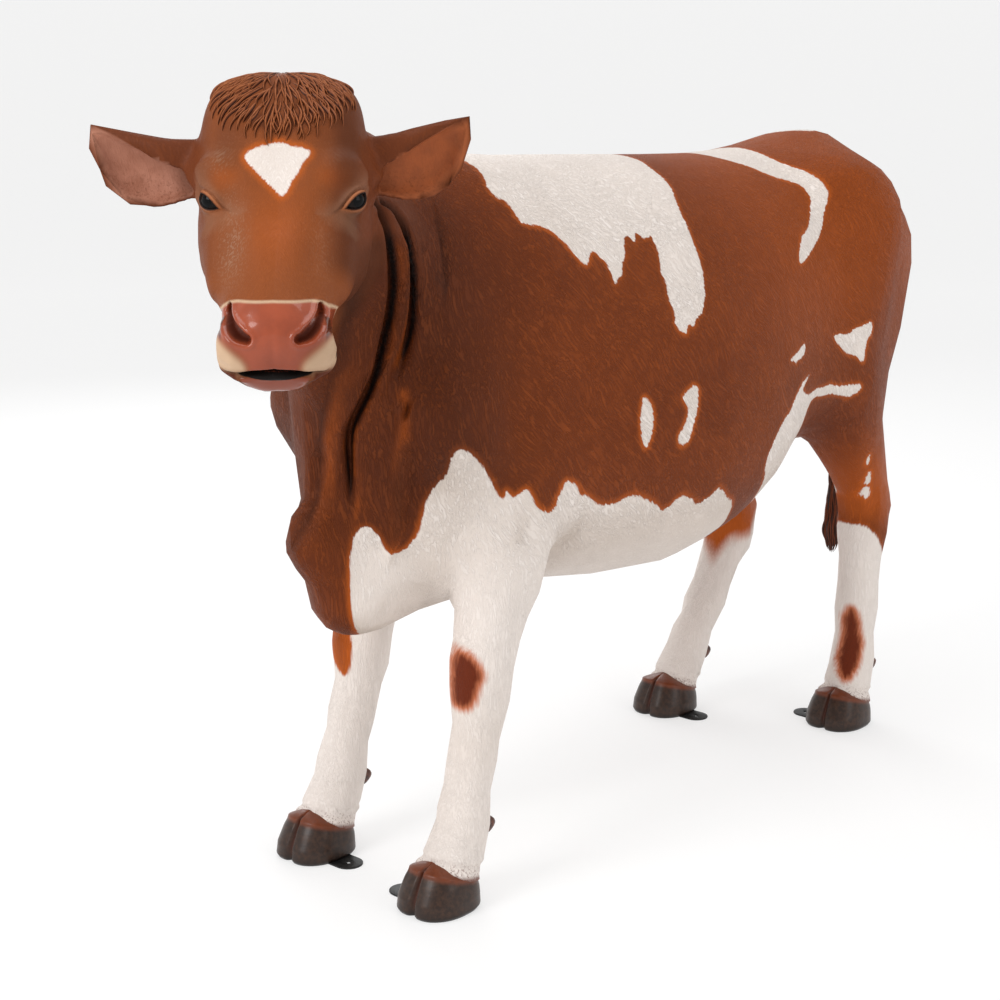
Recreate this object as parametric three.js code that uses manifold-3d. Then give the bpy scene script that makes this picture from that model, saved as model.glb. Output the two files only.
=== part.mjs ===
// Life-size garden statue of a polled dairy cow, moulded in painted glass-fibre
// resin and standing on four cloven hooves, each with a flat steel fixing tab.
//
// Millimetres, +Z up. The cow faces -Y and its left side is towards +X. The body's
// mid-plane is x = 0 until the last step, which puts the origin at the middle of
// the bounding box on the floor. The flesh is one smooth field of bones and muscle
// masses. Each part of the body is a stretch of its surface, parted by thin cuts.

import * as THREE from "three";
import { mergeVertices } from "three/addons/utils/BufferGeometryUtils.js";
import Module from "manifold-3d";

const wasm = await Module();
wasm.setup();

// ---------------------------------------------------------------- sizes

const gap = 0.5; // width of the cuts that part the body
const weld = 0.05; // vertices nearer than this are one

// Each foot's place, [x, y], and the middle of each joint above it, [y, z].
const stance = {
  fore_left: { foot: [172, -615], pastern: [-584, 84], fetlock: [-555, 130], shin: [-530, 245], knee: [-508, 390] },
  fore_right: { foot: [-162, -600], pastern: [-568, 84], fetlock: [-537, 128], shin: [-505, 245], knee: [-477, 388] },
  hind_left: { foot: [176, 672], pastern: [698, 82], fetlock: [719, 124], shin: [728, 260], hock: [732, 470] },
  hind_right: { foot: [-168, 484], pastern: [522, 80], fetlock: [561, 116], shin: [626, 222], hock: [711, 400] },
};

// The trunk's sections: [y, top, underside, level where it is widest, half width].
const barrel = [
  [-740, 1010, 700, 850, 36],
  [-680, 1120, 610, 840, 92],
  [-600, 1225, 540, 830, 158],
  [-500, 1278, 526, 820, 215],
  [-350, 1284, 520, 815, 262],
  [-150, 1278, 486, 800, 300],
  [50, 1271, 474, 790, 322],
  [250, 1265, 522, 816, 304],
  [420, 1267, 640, 872, 264],
  [560, 1282, 676, 900, 238],
  [680, 1303, 740, 955, 202],
  [780, 1282, 800, 985, 162],
  [850, 1222, 862, 1000, 116],
  [890, 1160, 930, 1020, 66],
];

// The head's sections below the crown, in its own frame:
// [distance from the crown, top, underside, widest level, half width].
const skull = [
  [20, 10, -120, -50, 96],
  [70, 24, -170, -52, 114],
  [130, 22, -200, -56, 118],
  [190, 8, -206, -58, 116],
  [240, -3, -196, -64, 106],
  [290, -6, -176, -68, 92],
  [340, -3, -150, -64, 82],
  [390, 2, -128, -58, 77],
  [430, 2, -102, -50, 72],
  [465, -14, -92, -50, 61],
  [488, -38, -80, -58, 36],
];

const crown = new THREE.Vector3(121, -886, 1416); // top of the head
const headTurn = THREE.MathUtils.degToRad(44); // towards the cow's left
const headDip = THREE.MathUtils.degToRad(50); // nose below the horizontal
const nape = { behind: -62, drop: 10, lean: 0.23 }; // where the head ends, behind and below the crown

const eyeRadius = 21;
const eyeSeat = [99, 201, -22]; // across, along and above, in the head's frame
const eyeShift = 5; // both of them, towards the left of the head's middle
const earRoot = 104; // from the middle of the head to where an ear starts
const ears = {
  left: { side: 1, reach: 279, lift: 17, sweep: 30 }, // tip across, raised, and turned back
  right: { side: -1, reach: 297, lift: 5, sweep: 14 },
};

const tabLength = 114; // from the middle of the hoof to the tip
const tabWidth = 54;
const tabThick = 3;
const tabHole = 9;
const tabHoleIn = 27; // from the tip to the middle of the bolt hole

const hoofHeight = 64; // at the middle of the coronet, which slopes down to the heel
const coronetSlope = 0.26;
const hoofHalf = [66, 69]; // half its width and half its length
const hoofPower = 2.5; // how square its outline is
const hoofRows = [[0, 0.96, 0], [6, 1.01, 0], [26, 0.99, 1], [100, 0.74, 17]]; // [height, size, how far back]
const clefts = {
  front: { from: -110, to: -34, top: 8, floor: 1.5 }, // along the hoof, and half width above and below
  back: { from: 46, to: 110, top: 7, floor: 2 },
};

const clawRadius = 14;
const clawSpread = 22; // from the leg's middle
const clawSeat = [25, -14]; // behind the fetlock and below it
const clawLean = 0.95; // radians below level
const clawRows = [[2, 0.6], [12, 1], [34, 0.9]]; // [along it, size]
const clawTip = 36;

// The tail hangs straight down behind: points of its middle, and a radius at each.
const tailLine = [
  [0, 800, 1225], [0, 872, 1205], [0, 900, 1120], [0, 900, 950], [0, 894, 780], [0, 890, 640], [0, 890, 520],
];
const tailRadii = [26, 30, 25, 21, 18, 16, 15];
const tasselLine = [[0, 890, 560], [0, 892, 490], [0, 894, 425], [0, 896, 368], [0, 896, 318]];
const tasselRadii = [12, 15, 20, 23, 6];
const tasselTop = 520;

const udderRoomWidth = 1.5; // between the hindquarters and what hangs on them

// Each surface's box, and its cells across, along and up.
const grids = {
  fore: { low: [-330, -890, 430], high: [330, -140, 1330], cell: [64, 76, 74] },
  middle: { low: [-350, -560, 430], high: [350, 680, 1330], cell: [80, 130, 88] },
  rear: { low: [-330, 260, 430], high: [330, 970, 1370], cell: [64, 72, 76] },
  neck: { low: [-310, -1030, 430], high: [350, -350, 1480], cell: [57, 57, 61] },
  head: { low: [-160, -110, -350], high: [160, 530, 64], cell: [22, 31, 22] },
  udder: { low: [-180, 470, 590], high: [180, 850, 900], cell: [41, 47, 38] },
};
const limbBox = { inner: 100, outer: 108, front: 130, back: 150 }; // round the foot and the joint above it
const upperLimb = { below: 90, above: 340, cell: [38, 40, 62] }; // below and above that joint
const lowerLimb = { above: 90, cell: [32, 32, 57] };

// ---------------------------------------------------------------- fields

// A field gives the distance from (x, y, z) to a surface, negative inside it.

function bone(a, b, ra, rb = ra) {
  const d = [b[0] - a[0], b[1] - a[1], b[2] - a[2]];
  const dd = d[0] * d[0] + d[1] * d[1] + d[2] * d[2] || 1;
  return (x, y, z) => {
    const px = x - a[0], py = y - a[1], pz = z - a[2];
    const t = Math.min(1, Math.max(0, (px * d[0] + py * d[1] + pz * d[2]) / dd));
    return Math.hypot(px - t * d[0], py - t * d[1], pz - t * d[2]) - ra - t * (rb - ra);
  };
}

// An ellipsoid, or a boxier egg where the power is above 2.
function egg(centre, radii, power = 2) {
  const small = Math.min(...radii);
  return (x, y, z) => {
    const p = [x - centre[0], y - centre[1], z - centre[2]];
    const sum = p.reduce((total, v, i) => total + Math.abs(v / radii[i]) ** power, 0);
    const r = sum ** (1 / power);
    return r < 1e-6 ? -small : (Math.hypot(...p) * (r - 1)) / r;
  };
}

// A body that follows sections along y, each one a rounded box shape.
function sections(rows, squareness) {
  const at = (y, column) => {
    const last = rows.length - 1;
    const yc = Math.min(rows[last][0], Math.max(rows[0][0], y));
    let i = 0;
    while (i < last - 1 && yc > rows[i + 1][0]) i += 1;
    const [p0, p1, p2, p3] = [i - 1, i, i + 1, i + 2].map((k) => rows[Math.min(last, Math.max(0, k))]);
    const t = (yc - p1[0]) / (p2[0] - p1[0]);
    const slope = (q, r) => (r[column] - q[column]) / (r[0] - q[0] || 1);
    const step = p2[0] - p1[0];
    const m1 = p0 === p1 ? slope(p1, p2) : slope(p0, p2);
    const m2 = p3 === p2 ? slope(p1, p2) : slope(p1, p3);
    const t2 = t * t, t3 = t2 * t;
    return (2 * t3 - 3 * t2 + 1) * p1[column] + (t3 - 2 * t2 + t) * step * m1 +
      (-2 * t3 + 3 * t2) * p2[column] + (t3 - t2) * step * m2;
  };
  const first = rows[0][0], end = rows[rows.length - 1][0];
  return (x, y, z) => {
    const top = at(y, 1), under = at(y, 2), wide = at(y, 3), half = at(y, 4);
    const dz = z - wide;
    const up = dz > 0 ? top - wide : wide - under;
    const r = ((Math.abs(x) / half) ** squareness + (Math.abs(dz) / up) ** squareness) ** (1 / squareness);
    const across = r < 1e-6 ? -Math.min(half, up) : (Math.hypot(x, dz) * (r - 1)) / r;
    const beyond = Math.max(first - y, y - end, 0);
    return beyond > 0 ? Math.hypot(Math.max(across, 0), beyond) : across;
  };
}

const soften = (a, b, k) => {
  const h = Math.max(k - Math.abs(a - b), 0) / k;
  return Math.min(a, b) - (h * h * k) / 4;
};

// Joins masses in order: each is [field, how far its edge melts into the rest].
const melt = (masses) => (x, y, z) => {
  let d = masses[0][0](x, y, z);
  for (let i = 1; i < masses.length; i += 1) d = soften(d, masses[i][0](x, y, z), masses[i][1]);
  return d;
};

const pair = (make) => [make(1), make(-1)].flat(1);

// ---------------------------------------------------------------- the head

const headFrame = new THREE.Matrix4()
  .makeTranslation(crown.x, crown.y, crown.z)
  .multiply(new THREE.Matrix4().makeRotationZ(headTurn))
  .multiply(new THREE.Matrix4().makeRotationX(headDip));

// A point of the head from [across, distance from the crown, height].
const headPoint = ([x, s, t]) => new THREE.Vector3(x, -s, t).applyMatrix4(headFrame).toArray();

function headMasses() {
  return [
    [sections(skull, 2.5), 0],
    [egg([0, 52, -56], [117, 80, 84], 2.9), 30], // crown
    ...pair((side) => [
      [egg([side * 98, 168, -22], [33, 36, 30]), 24], // brow
      [egg([side * 88, 268, -70], [22, 66, 34]), 30], // cheek bone
      [egg([side * 84, 196, -134], [43, 90, 70]), 40], // jaw muscle
      [bone([side * 48, 130, -184], [side * 36, 330, -128], 30, 24), 34], // jaw bone
      [bone([side * 84, 104, -78], [side * 116, 108, -76], 40, 34), 24], // ear root
      [egg([side * 52, 440, -34], [32, 40, 34]), 18], // nostril wing
      [egg([side * 45, 434, -68], [39, 43, 25]), 20], // upper lip
    ]),
    [bone([0, 300, -26], [0, 430, -28], 30, 34), 30], // nose bridge
    [egg([0, 426, -105], [37, 47, 27]), 10], // lower lip and chin
  ];
}

const headShape = melt(headMasses());
const toHead = headFrame.clone().invert().elements;
const head = (x, y, z) =>
  headShape(
    toHead[0] * x + toHead[4] * y + toHead[8] * z + toHead[12],
    -(toHead[1] * x + toHead[5] * y + toHead[9] * z + toHead[13]),
    toHead[2] * x + toHead[6] * y + toHead[10] * z + toHead[14],
  );

// ---------------------------------------------------------------- neck, trunk and limbs

const neckMasses = [
  [bone([0, -470, 1215], headPoint([0, 40, -75]), 62, 66), 60], // crest
  [bone([0, -430, 1010], headPoint([0, 110, -140]), 178, 92), 70], // body of the neck
  [bone([0, -590, 800], headPoint([0, 170, -205]), 100, 52), 60], // throat
  [bone(headPoint([4, 184, -200]), [30, -736, 862], 26, 18), 36], // dewlap
  [bone([30, -736, 862], [8, -662, 750], 18, 18), 24],
  [bone([8, -662, 750], [-2, -730, 656], 18, 44), 20],
  [bone([-2, -730, 656], [0, -644, 538], 44, 62), 50], // brisket
  [bone([0, -644, 538], [0, -440, 558], 62, 62), 60],
];

const trunkMasses = [
  ...pair((side) => [
    [bone([side * 80, -450, 1205], [side * 150, -575, 860], 66, 84), 70], // shoulder blade
    [bone([side * 150, -575, 860], [side * 150, -440, 720], 76, 80), 60], // upper arm
    [bone([side * 120, -380, 1080], [side * 150, -400, 740], 100, 80), 70], // triceps
    [egg([side * 184, 600, 1206], [46, 84, 44]), 90], // hook bone
    [egg([side * 100, 834, 1158], [38, 50, 42]), 60], // pin bone
    [bone([side * 130, 690, 1110], [side * 176, 585, 820], 126, 94), 70], // thigh
    [bone([side * 116, 828, 1046], [side * 150, 750, 830], 92, 74), 60], // hamstring
    [bone([side * 190, 560, 840], [side * 220, 400, 798], 60, 36), 70], // flank fold
  ]),
  [bone([0, 740, 1262], [0, 852, 1216], 34, 26), 40], // tail head
];

function foreLimb(name, side) {
  const { foot, pastern, fetlock, shin, knee } = stance[name];
  const joint = (at, dy = 0, dz = 0, dx = 0) => [foot[0] + side * dx, at[0] + dy, at[1] + dz];
  return [
    [bone([side * 158, -432, 690], joint(knee, 52, 190, -4), 88, 74), 50], // elbow
    [bone(joint(knee, 52, 190, -4), joint(knee, 10, 40), 70, 52), 30], // forearm
    [bone(joint(knee, 0, 22), joint(knee, 0, -24), 53, 49), 24], // knee
    [bone(joint(knee, 4, -40), joint(shin), 43, 38), 26],
    [bone(joint(shin), joint(fetlock, 0, 26), 38, 40), 22],
    [bone(joint(fetlock, 4, 4), joint(pastern, 6, 0), 45, 46), 20],
    [bone(joint(pastern, 6, 0), joint(pastern, -8, -34), 46, 50), 20],
  ];
}

function hindLimb(name, side) {
  const { foot, pastern, fetlock, shin, hock } = stance[name];
  const joint = (at, dy = 0, dz = 0, dx = 0) => [foot[0] + side * dx, at[0] + dy, at[1] + dz];
  return [
    [bone([side * 178, 596, 750], joint(hock, -26, 100), 98, 56), 50], // gaskin
    [bone([side * 158, 724, 784], joint(hock, 38, 104), 56, 24), 40], // heel tendon
    [bone(joint(hock, 38, 104), joint(hock, 66, 20), 24, 24), 24], // point of the hock
    [bone(joint(hock, 66, 20), joint(hock, 24, -40), 25, 34), 26],
    [bone(joint(hock, 0, 30), joint(hock, 4, -34), 52, 46), 30], // hock
    [bone(joint(hock, 4, -34), joint(shin), 46, 40), 24],
    [bone(joint(shin), joint(fetlock, 0, 26), 40, 40), 22],
    [bone(joint(fetlock, 2, 4), joint(pastern, 6, 0), 45, 44), 20],
    [bone(joint(pastern, 6, 0), joint(pastern, -8, -34), 44, 48), 20],
  ];
}

const udderMasses = [
  [egg([0, 650, 745], [128, 150, 112]), 50],
  ...pair((side) => [
    [bone([side * 58, 570, 660], [side * 66, 552, 618], 20, 13), 22], // front teat
    [bone([side * 50, 690, 662], [side * 55, 690, 618], 20, 13), 22], // back teat
  ]),
];

const flesh = melt([
  [sections(barrel, 2.25), 0],
  ...trunkMasses,
  ...foreLimb("fore_left", 1),
  ...foreLimb("fore_right", -1),
  ...hindLimb("hind_left", 1),
  ...hindLimb("hind_right", -1),
  ...neckMasses,
  [head, 46],
]);
const udder = melt(udderMasses);

// ---------------------------------------------------------------- surfaces

// A closed mesh of the field's surface inside a box, from a grid of cells. Every
// cell that the surface crosses gets one vertex, and every crossed grid edge
// joins the four cells round it.
function surface(field, { low, high, cell }) {
  const n = low.map((v, i) => Math.ceil((high[i] - v) / cell[i]) + 3);
  const at = (i, j, k) => [i, j, k].map((m, a) => low[a] + (m - 1) * cell[a]);
  const index = (i, j, k) => (k * n[1] + j) * n[0] + i;
  const capped = (x, y, z) =>
    Math.max(field(x, y, z), low[0] - x, x - high[0], low[1] - y, y - high[1], low[2] - z, z - high[2]);
  const each = (less, visit) => {
    for (let k = 0; k < n[2] - less; k += 1)
      for (let j = 0; j < n[1] - less; j += 1)
        for (let i = 0; i < n[0] - less; i += 1) visit(i, j, k);
  };
  const value = new Float64Array(n[0] * n[1] * n[2]);
  each(0, (i, j, k) => {
    value[index(i, j, k)] = capped(...at(i, j, k));
  });
  const vertexOf = new Map();
  const places = [];
  each(1, (i, j, k) => {
    const v = cellCorners.map(([a, b, c]) => value[index(i + a, j + b, k + c)]);
    const sum = [0, 0, 0];
    let hits = 0;
    for (const [p, q] of cellEdges) {
      if (v[p] < 0 === v[q] < 0) continue;
      const t = v[p] / (v[p] - v[q]);
      for (let a = 0; a < 3; a += 1) sum[a] += THREE.MathUtils.lerp(cellCorners[p][a], cellCorners[q][a], t);
      hits += 1;
    }
    if (!hits) return;
    vertexOf.set(index(i, j, k), places.length);
    places.push(settle(capped, at(i, j, k).map((v0, a) => v0 + (sum[a] / hits) * cell[a]), Math.min(...cell)));
  });
  const faces = [];
  const steps = [[1, 0, 0], [0, 1, 0], [0, 0, 1]];
  const far = (a, b) => Math.hypot(...places[a].map((c, m) => c - places[b][m]));
  each(1, (i, j, k) => {
    if (!i || !j || !k) return;
    const inside = value[index(i, j, k)] < 0;
    steps.forEach((step, axis) => {
      if (inside === value[index(i + step[0], j + step[1], k + step[2])] < 0) return;
      const u = steps[(axis + 1) % 3], w = steps[(axis + 2) % 3];
      const [a, b, c, d] = [[0, 0], [1, 0], [1, 1], [0, 1]].map(([p, q]) =>
        vertexOf.get(index(i - p * u[0] - q * w[0], j - p * u[1] - q * w[1], k - p * u[2] - q * w[2])));
      const quad = inside ? [a, b, c, d] : [d, c, b, a];
      const turn = far(quad[0], quad[2]) < far(quad[1], quad[3]) ? 0 : 1;
      const [e, f, g, h] = [0, 1, 2, 3].map((m) => quad[(m + turn) % 4]);
      faces.push(e, f, g, e, g, h);
    });
  });
  return new THREE.BufferGeometry()
    .setAttribute("position", new THREE.Float32BufferAttribute(places.flat(), 3))
    .setIndex(closePinches(faces));
}

// Where the surface all but meets itself, an edge has four faces instead of two.
// Drawing its two ends together closes it up.
function closePinches(faces) {
  const uses = new Map();
  faces.forEach((a, i) => {
    const b = faces[i % 3 === 2 ? i - 2 : i + 1];
    const edge = [Math.min(a, b), Math.max(a, b)].join(" ");
    uses.set(edge, (uses.get(edge) ?? 0) + 1);
  });
  const pinched = [...uses].filter(([, count]) => count > 2).map(([edge]) => edge.split(" ").map(Number));
  const drawn = new Map(pinched.map(([a, b]) => [b, a]));
  const closed = faces.map((a) => drawn.get(a) ?? a);
  return withoutSlivers(closed);
}

// Leaves out the triangles that have two corners alike.
function withoutSlivers(corners) {
  return corners.filter((_, i) => {
    const [a, b, c] = corners.slice(i - (i % 3), i - (i % 3) + 3);
    return a !== b && b !== c && c !== a;
  });
}

const cellCorners = [[0, 0, 0], [1, 0, 0], [0, 1, 0], [1, 1, 0], [0, 0, 1], [1, 0, 1], [0, 1, 1], [1, 1, 1]];
const cellEdges = [
  [0, 1], [2, 3], [4, 5], [6, 7], [0, 2], [1, 3], [4, 6], [5, 7], [0, 4], [1, 5], [2, 6], [3, 7],
];

// Moves a vertex along the field's slope until it lies on the surface.
function settle(field, place, reach) {
  const h = reach / 20;
  const p = [...place];
  for (let turn = 0; turn < 3; turn += 1) {
    const d = field(...p);
    const slope = [0, 1, 2].map((a) => {
      const ahead = [...p], behind = [...p];
      ahead[a] += h;
      behind[a] -= h;
      return (field(...ahead) - field(...behind)) / (2 * h);
    });
    const steep = slope.reduce((sum, g) => sum + g * g, 0) || 1;
    const pull = THREE.MathUtils.clamp(d, -reach / 3, reach / 3) / steep;
    slope.forEach((g, a) => {
      p[a] -= g * pull;
    });
  }
  return p;
}

// A closed skin over rings of points, each ring with the same number of them.
function loft(rings) {
  const n = rings[0].length;
  const last = rings.length - 1;
  const middle = (ring) => [0, 1, 2].map((a) => ring.reduce((sum, p) => sum + p[a], 0) / n);
  const places = [...rings.flat(), middle(rings[0]), middle(rings[last])];
  const faces = [];
  for (let s = 0; s < n; s += 1) {
    const next = (s + 1) % n;
    faces.push(places.length - 2, next, s, places.length - 1, last * n + s, last * n + next);
    for (let i = 0; i < last; i += 1) {
      const a = i * n + s, b = i * n + next;
      faces.push(a, b, b + n, a, b + n, a + n);
    }
  }
  return new THREE.BufferGeometry()
    .setAttribute("position", new THREE.Float32BufferAttribute(places.flat(), 3))
    .setIndex(faces);
}

// A round tube of changing radius through a list of points.
function tube(points, radii, sides, steps) {
  const curve = new THREE.CatmullRomCurve3(points.map((p) => new THREE.Vector3(...p)));
  const across = new THREE.Vector3(1, 0, 0);
  const rings = Array.from({ length: steps + 1 }, (_, i) => {
    const t = i / steps;
    const j = Math.min(radii.length - 2, Math.floor(t * (radii.length - 1)));
    const r = THREE.MathUtils.lerp(radii[j], radii[j + 1], t * (radii.length - 1) - j);
    const fore = curve.getTangent(t).cross(across).normalize();
    return Array.from({ length: sides }, (_v, s) => {
      const turn = (s / sides) * 2 * Math.PI;
      return curve.getPoint(t).addScaledVector(across, r * Math.cos(turn))
        .addScaledVector(fore, r * Math.sin(turn)).toArray();
    });
  });
  return loft(rings);
}

// ---------------------------------------------------------------- solids

function solid(geometry) {
  const bare = new THREE.BufferGeometry().setAttribute("position", geometry.getAttribute("position"));
  if (geometry.index) bare.setIndex(geometry.index);
  const merged = mergeVertices(bare, 1e-3);
  return new wasm.Manifold(new wasm.Mesh({
    numProp: 3,
    vertProperties: merged.getAttribute("position").array,
    triVerts: new Uint32Array(merged.index.array),
  }));
}

// A cut can leave vertices that all but touch. They are welded here, and the
// triangles that close up are dropped.
function geometryOf(made) {
  const { vertProperties, triVerts, numProp } = made.getMesh();
  const welded = mergeVertices(new THREE.BufferGeometry()
    .setAttribute("position", new THREE.Float32BufferAttribute(vertProperties, numProp))
    .setIndex(new THREE.BufferAttribute(triVerts, 1)), weld);
  return welded.setIndex(withoutSlivers(Array.from(welded.index.array)));
}

// The same solid with its surface moved outwards.
function grown(made, by) {
  const geometry = geometryOf(made);
  geometry.computeVertexNormals();
  const place = geometry.getAttribute("position"), normal = geometry.getAttribute("normal");
  for (let i = 0; i < place.count; i += 1)
    place.setXYZ(i, ...[0, 1, 2].map((a) => place.getComponent(i, a) + by * normal.getComponent(i, a)));
  return solid(geometry);
}

// Only the largest piece of a solid, where a cut leaves a crumb behind.
function largest(made) {
  return made.decompose().sort((a, b) => b.volume() - a.volume())[0];
}

// A cut through the body: a point on it and the direction it faces.
const cut = (point, facing) => {
  const normal = new THREE.Vector3(...facing).normalize();
  const offset = normal.dot(new THREE.Vector3(...point));
  return {
    ahead: (made) => made.trimByPlane(normal.toArray(), offset + gap / 2),
    behind: (made) => made.trimByPlane(normal.clone().negate().toArray(), gap / 2 - offset),
  };
};

const headForward = new THREE.Vector3(0, -1, 0).applyAxisAngle(new THREE.Vector3(0, 0, 1), headTurn);
const napeCut = cut(
  crown.clone().addScaledVector(headForward, nape.behind).add(new THREE.Vector3(0, 0, -nape.drop)).toArray(),
  headForward.clone().add(new THREE.Vector3(0, 0, nape.lean)).toArray(),
);
const neckBase = cut([0, -520, 1290], [0, -0.976, 0.217]);
const brisketTop = cut([0, -700, 790], [0, 0, 1]);
const ribsFront = cut([0, -300, 0], [0, 1, 0]);
const loins = cut([0, 420, 0], [0, 1, 0]);
const elbow = (side) => cut([side * 95, 0, 530], [side * 0.64, 0, -0.77]);
const stifle = (side) => cut([side * 60, 0, 560], [side * 0.5, 0, -0.866]);
const level = (z) => cut([0, 0, z], [0, 0, 1]);
const coronet = (y) => cut([0, y, hoofHeight], [0, coronetSlope, 1]);

// ---------------------------------------------------------------- trunk, neck and head

const trunk = {};
{
  const fore = solid(surface(flesh, grids.fore));
  const bulk = neckBase.behind(ribsFront.behind(fore));
  trunk.chest = [1, -1].reduce((made, side) => elbow(side).behind(made), bulk);
  const middle = solid(surface(flesh, grids.middle));
  trunk.barrel = loins.behind(ribsFront.ahead(middle));
  const rear = solid(surface(flesh, grids.rear));
  trunk.hindquarters = [1, -1].reduce((made, side) => stifle(side).behind(made), loins.ahead(rear));
  const neck = solid(surface(flesh, grids.neck));
  const throat = napeCut.behind(neckBase.ahead(neck));
  trunk.neck = brisketTop.ahead(throat);
  trunk.brisket = [1, -1].reduce((made, side) => elbow(side).behind(made), brisketTop.behind(throat));
}

const headSolid = (() => {
  const fleshInHead = (x, s, t) => flesh(...headPoint([x, s, t]));
  const shape = surface(fleshInHead, grids.head);
  shape.applyMatrix4(new THREE.Matrix4().makeScale(1, -1, 1)).applyMatrix4(headFrame);
  shape.setIndex(Array.from(shape.index.array).reverse());
  return napeCut.ahead(solid(shape));
})();

const eyeBall = (side, radius) => {
  const ball = new THREE.SphereGeometry(radius, 10, 6);
  return solid(ball.translate(...headPoint([side * eyeSeat[0] + eyeShift, eyeSeat[1], eyeSeat[2]])));
};

// An ear is a cupped leaf. Its sections stand across it from root to tip.
function ear({ side, reach, lift, sweep }) {
  const upper = new THREE.CatmullRomCurve3(
    [[0, -84], [0.3, -88], [0.6, -82], [0.85, -71], [1, -66]].map(([t, z]) => new THREE.Vector3(t, z)),
  );
  const lower = new THREE.CatmullRomCurve3(
    [[0, -168], [0.25, -174], [0.5, -186], [0.72, -178], [0.9, -144], [1, -92]].map(
      ([t, z]) => new THREE.Vector3(t, z)),
  );
  const edgePoints = 5;
  const rings = [0, 0.14, 0.28, 0.42, 0.56, 0.7, 0.82, 0.92, 1].map((t) => {
    const [top, bottom] = [upper, lower].map((edge) => edge.getPoint(t));
    const half = (top.y - bottom.y) / 2;
    const cup = half * 0.62;
    const thick = THREE.MathUtils.lerp(13, 4, Math.min(1, t * 1.6));
    const filled = THREE.MathUtils.lerp(1, 0, Math.min(1, t * 4));
    const back = (share) => -cup * share - sweep * t * t;
    const point = (turn, depth) => {
      const x = THREE.MathUtils.lerp(earRoot, reach, THREE.MathUtils.lerp(top.x, bottom.x, (1 - Math.cos(turn)) / 2));
      const rise = (top.y + bottom.y) / 2 + Math.cos(turn) * (half - depth * 0.3) + lift * Math.min(1, 2 * t);
      return [side * x, 4 + depth + back(Math.sin(turn) * (depth > 0 ? 1 - filled : 1)), rise];
    };
    const outer = Array.from({ length: edgePoints + 1 }, (_, i) => point((Math.PI * i) / edgePoints, -thick / 2));
    const inner = Array.from({ length: edgePoints - 1 }, (_, i) =>
      point(Math.PI * (1 - (i + 1) / edgePoints), thick / 2));
    return [...outer, ...inner];
  });
  const upright = new THREE.Matrix4().makeTranslation(crown.x, crown.y, crown.z)
    .multiply(new THREE.Matrix4().makeRotationZ(headTurn));
  const shape = loft(rings.map((ring) => ring.map(([x, forward, rise]) =>
    new THREE.Vector3(x, -forward, rise).applyMatrix4(upright).toArray())));
  if (side > 0) shape.setIndex(Array.from(shape.index.array).reverse());
  return solid(shape);
}

// ---------------------------------------------------------------- feet

// A cloven hoof: rounded at the toe and heel, cleft in front and behind.
function hoof([x, y]) {
  const rings = hoofRows.map(([z, size, back]) => Array.from({ length: 16 }, (_, s) => {
    const turn = (s / 16) * 2 * Math.PI;
    const [c, d] = [Math.cos(turn), Math.sin(turn)];
    const round = (Math.abs(c) ** hoofPower + Math.abs(d) ** hoofPower) ** (-1 / hoofPower) * size;
    return [x + c * round * hoofHalf[0], y + back + d * round * hoofHalf[1], z];
  }));
  const cleft = ({ from, to, top, floor }) => {
    const outline = [[-top, 110], [top, 110], [floor, 8], [-floor, 8]].map((p) => new THREE.Vector2(...p));
    const bar = new THREE.ExtrudeGeometry(new THREE.Shape(outline), { depth: to - from, bevelEnabled: false });
    return solid(bar.rotateX(Math.PI / 2).translate(x, y + to, 0));
  };
  const body = coronet(y).behind(solid(loft(rings)));
  return body.subtract(cleft(clefts.front)).subtract(cleft(clefts.back));
}

// A flat steel tongue let into the sole, with a bolt hole beyond the hoof.
function tab([x, y]) {
  const inward = -Math.sign(x);
  const outline = new THREE.Shape();
  outline.moveTo(0, -tabWidth / 2).lineTo(tabLength - tabWidth / 2, -tabWidth / 2);
  outline.absarc(tabLength - tabWidth / 2, 0, tabWidth / 2, -Math.PI / 2, Math.PI / 2, false);
  outline.lineTo(0, tabWidth / 2).closePath();
  outline.holes.push(new THREE.Path().absarc(tabLength - tabHoleIn, 0, tabHole / 2, 0, 2 * Math.PI, true));
  const plate = new THREE.ExtrudeGeometry(outline, { depth: tabThick, bevelEnabled: false, curveSegments: 5 });
  return solid(plate.rotateZ(inward < 0 ? Math.PI : 0).translate(x, y, 0));
}

// A dewclaw is a short blunt horn behind the fetlock.
function dewclaw(x, y, z) {
  const side = clawRows.map(([up, size]) => new THREE.Vector2(size * clawRadius, up));
  const claw = new THREE.LatheGeometry([new THREE.Vector2(0, 0), ...side, new THREE.Vector2(0, clawTip)], 7);
  return solid(claw.rotateX(Math.PI / 2 - clawLean).translate(x, y, z));
}

// ---------------------------------------------------------------- the statue

const coatRed = { color: 0x8a3d17, roughness: 0.48 };
const coatWhite = { color: 0xe6dace, roughness: 0.5 };
const coatDark = { color: 0x5e3018, roughness: 0.5 };
const horn = { color: 0x2c1c15, roughness: 0.35 };
const eyeBlack = { color: 0x0b0908, roughness: 0.08 };
const steelBlack = { color: 0x111111, roughness: 0.5, metalness: 0.4 };

const cow = new THREE.Group();
const add = (name, made, paint) => {
  const mesh = new THREE.Mesh(geometryOf(made), new THREE.MeshStandardMaterial(paint));
  mesh.name = name;
  cow.add(mesh);
};

const udderRoom = grown(trunk.hindquarters, udderRoomWidth);
const bag = solid(surface(udder, grids.udder));
const tail = solid(tube(tailLine, tailRadii, 8, 8));
const tassel = solid(tube(tasselLine, tasselRadii, 8, 6));
const tailEnd = level(tasselTop);

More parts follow.
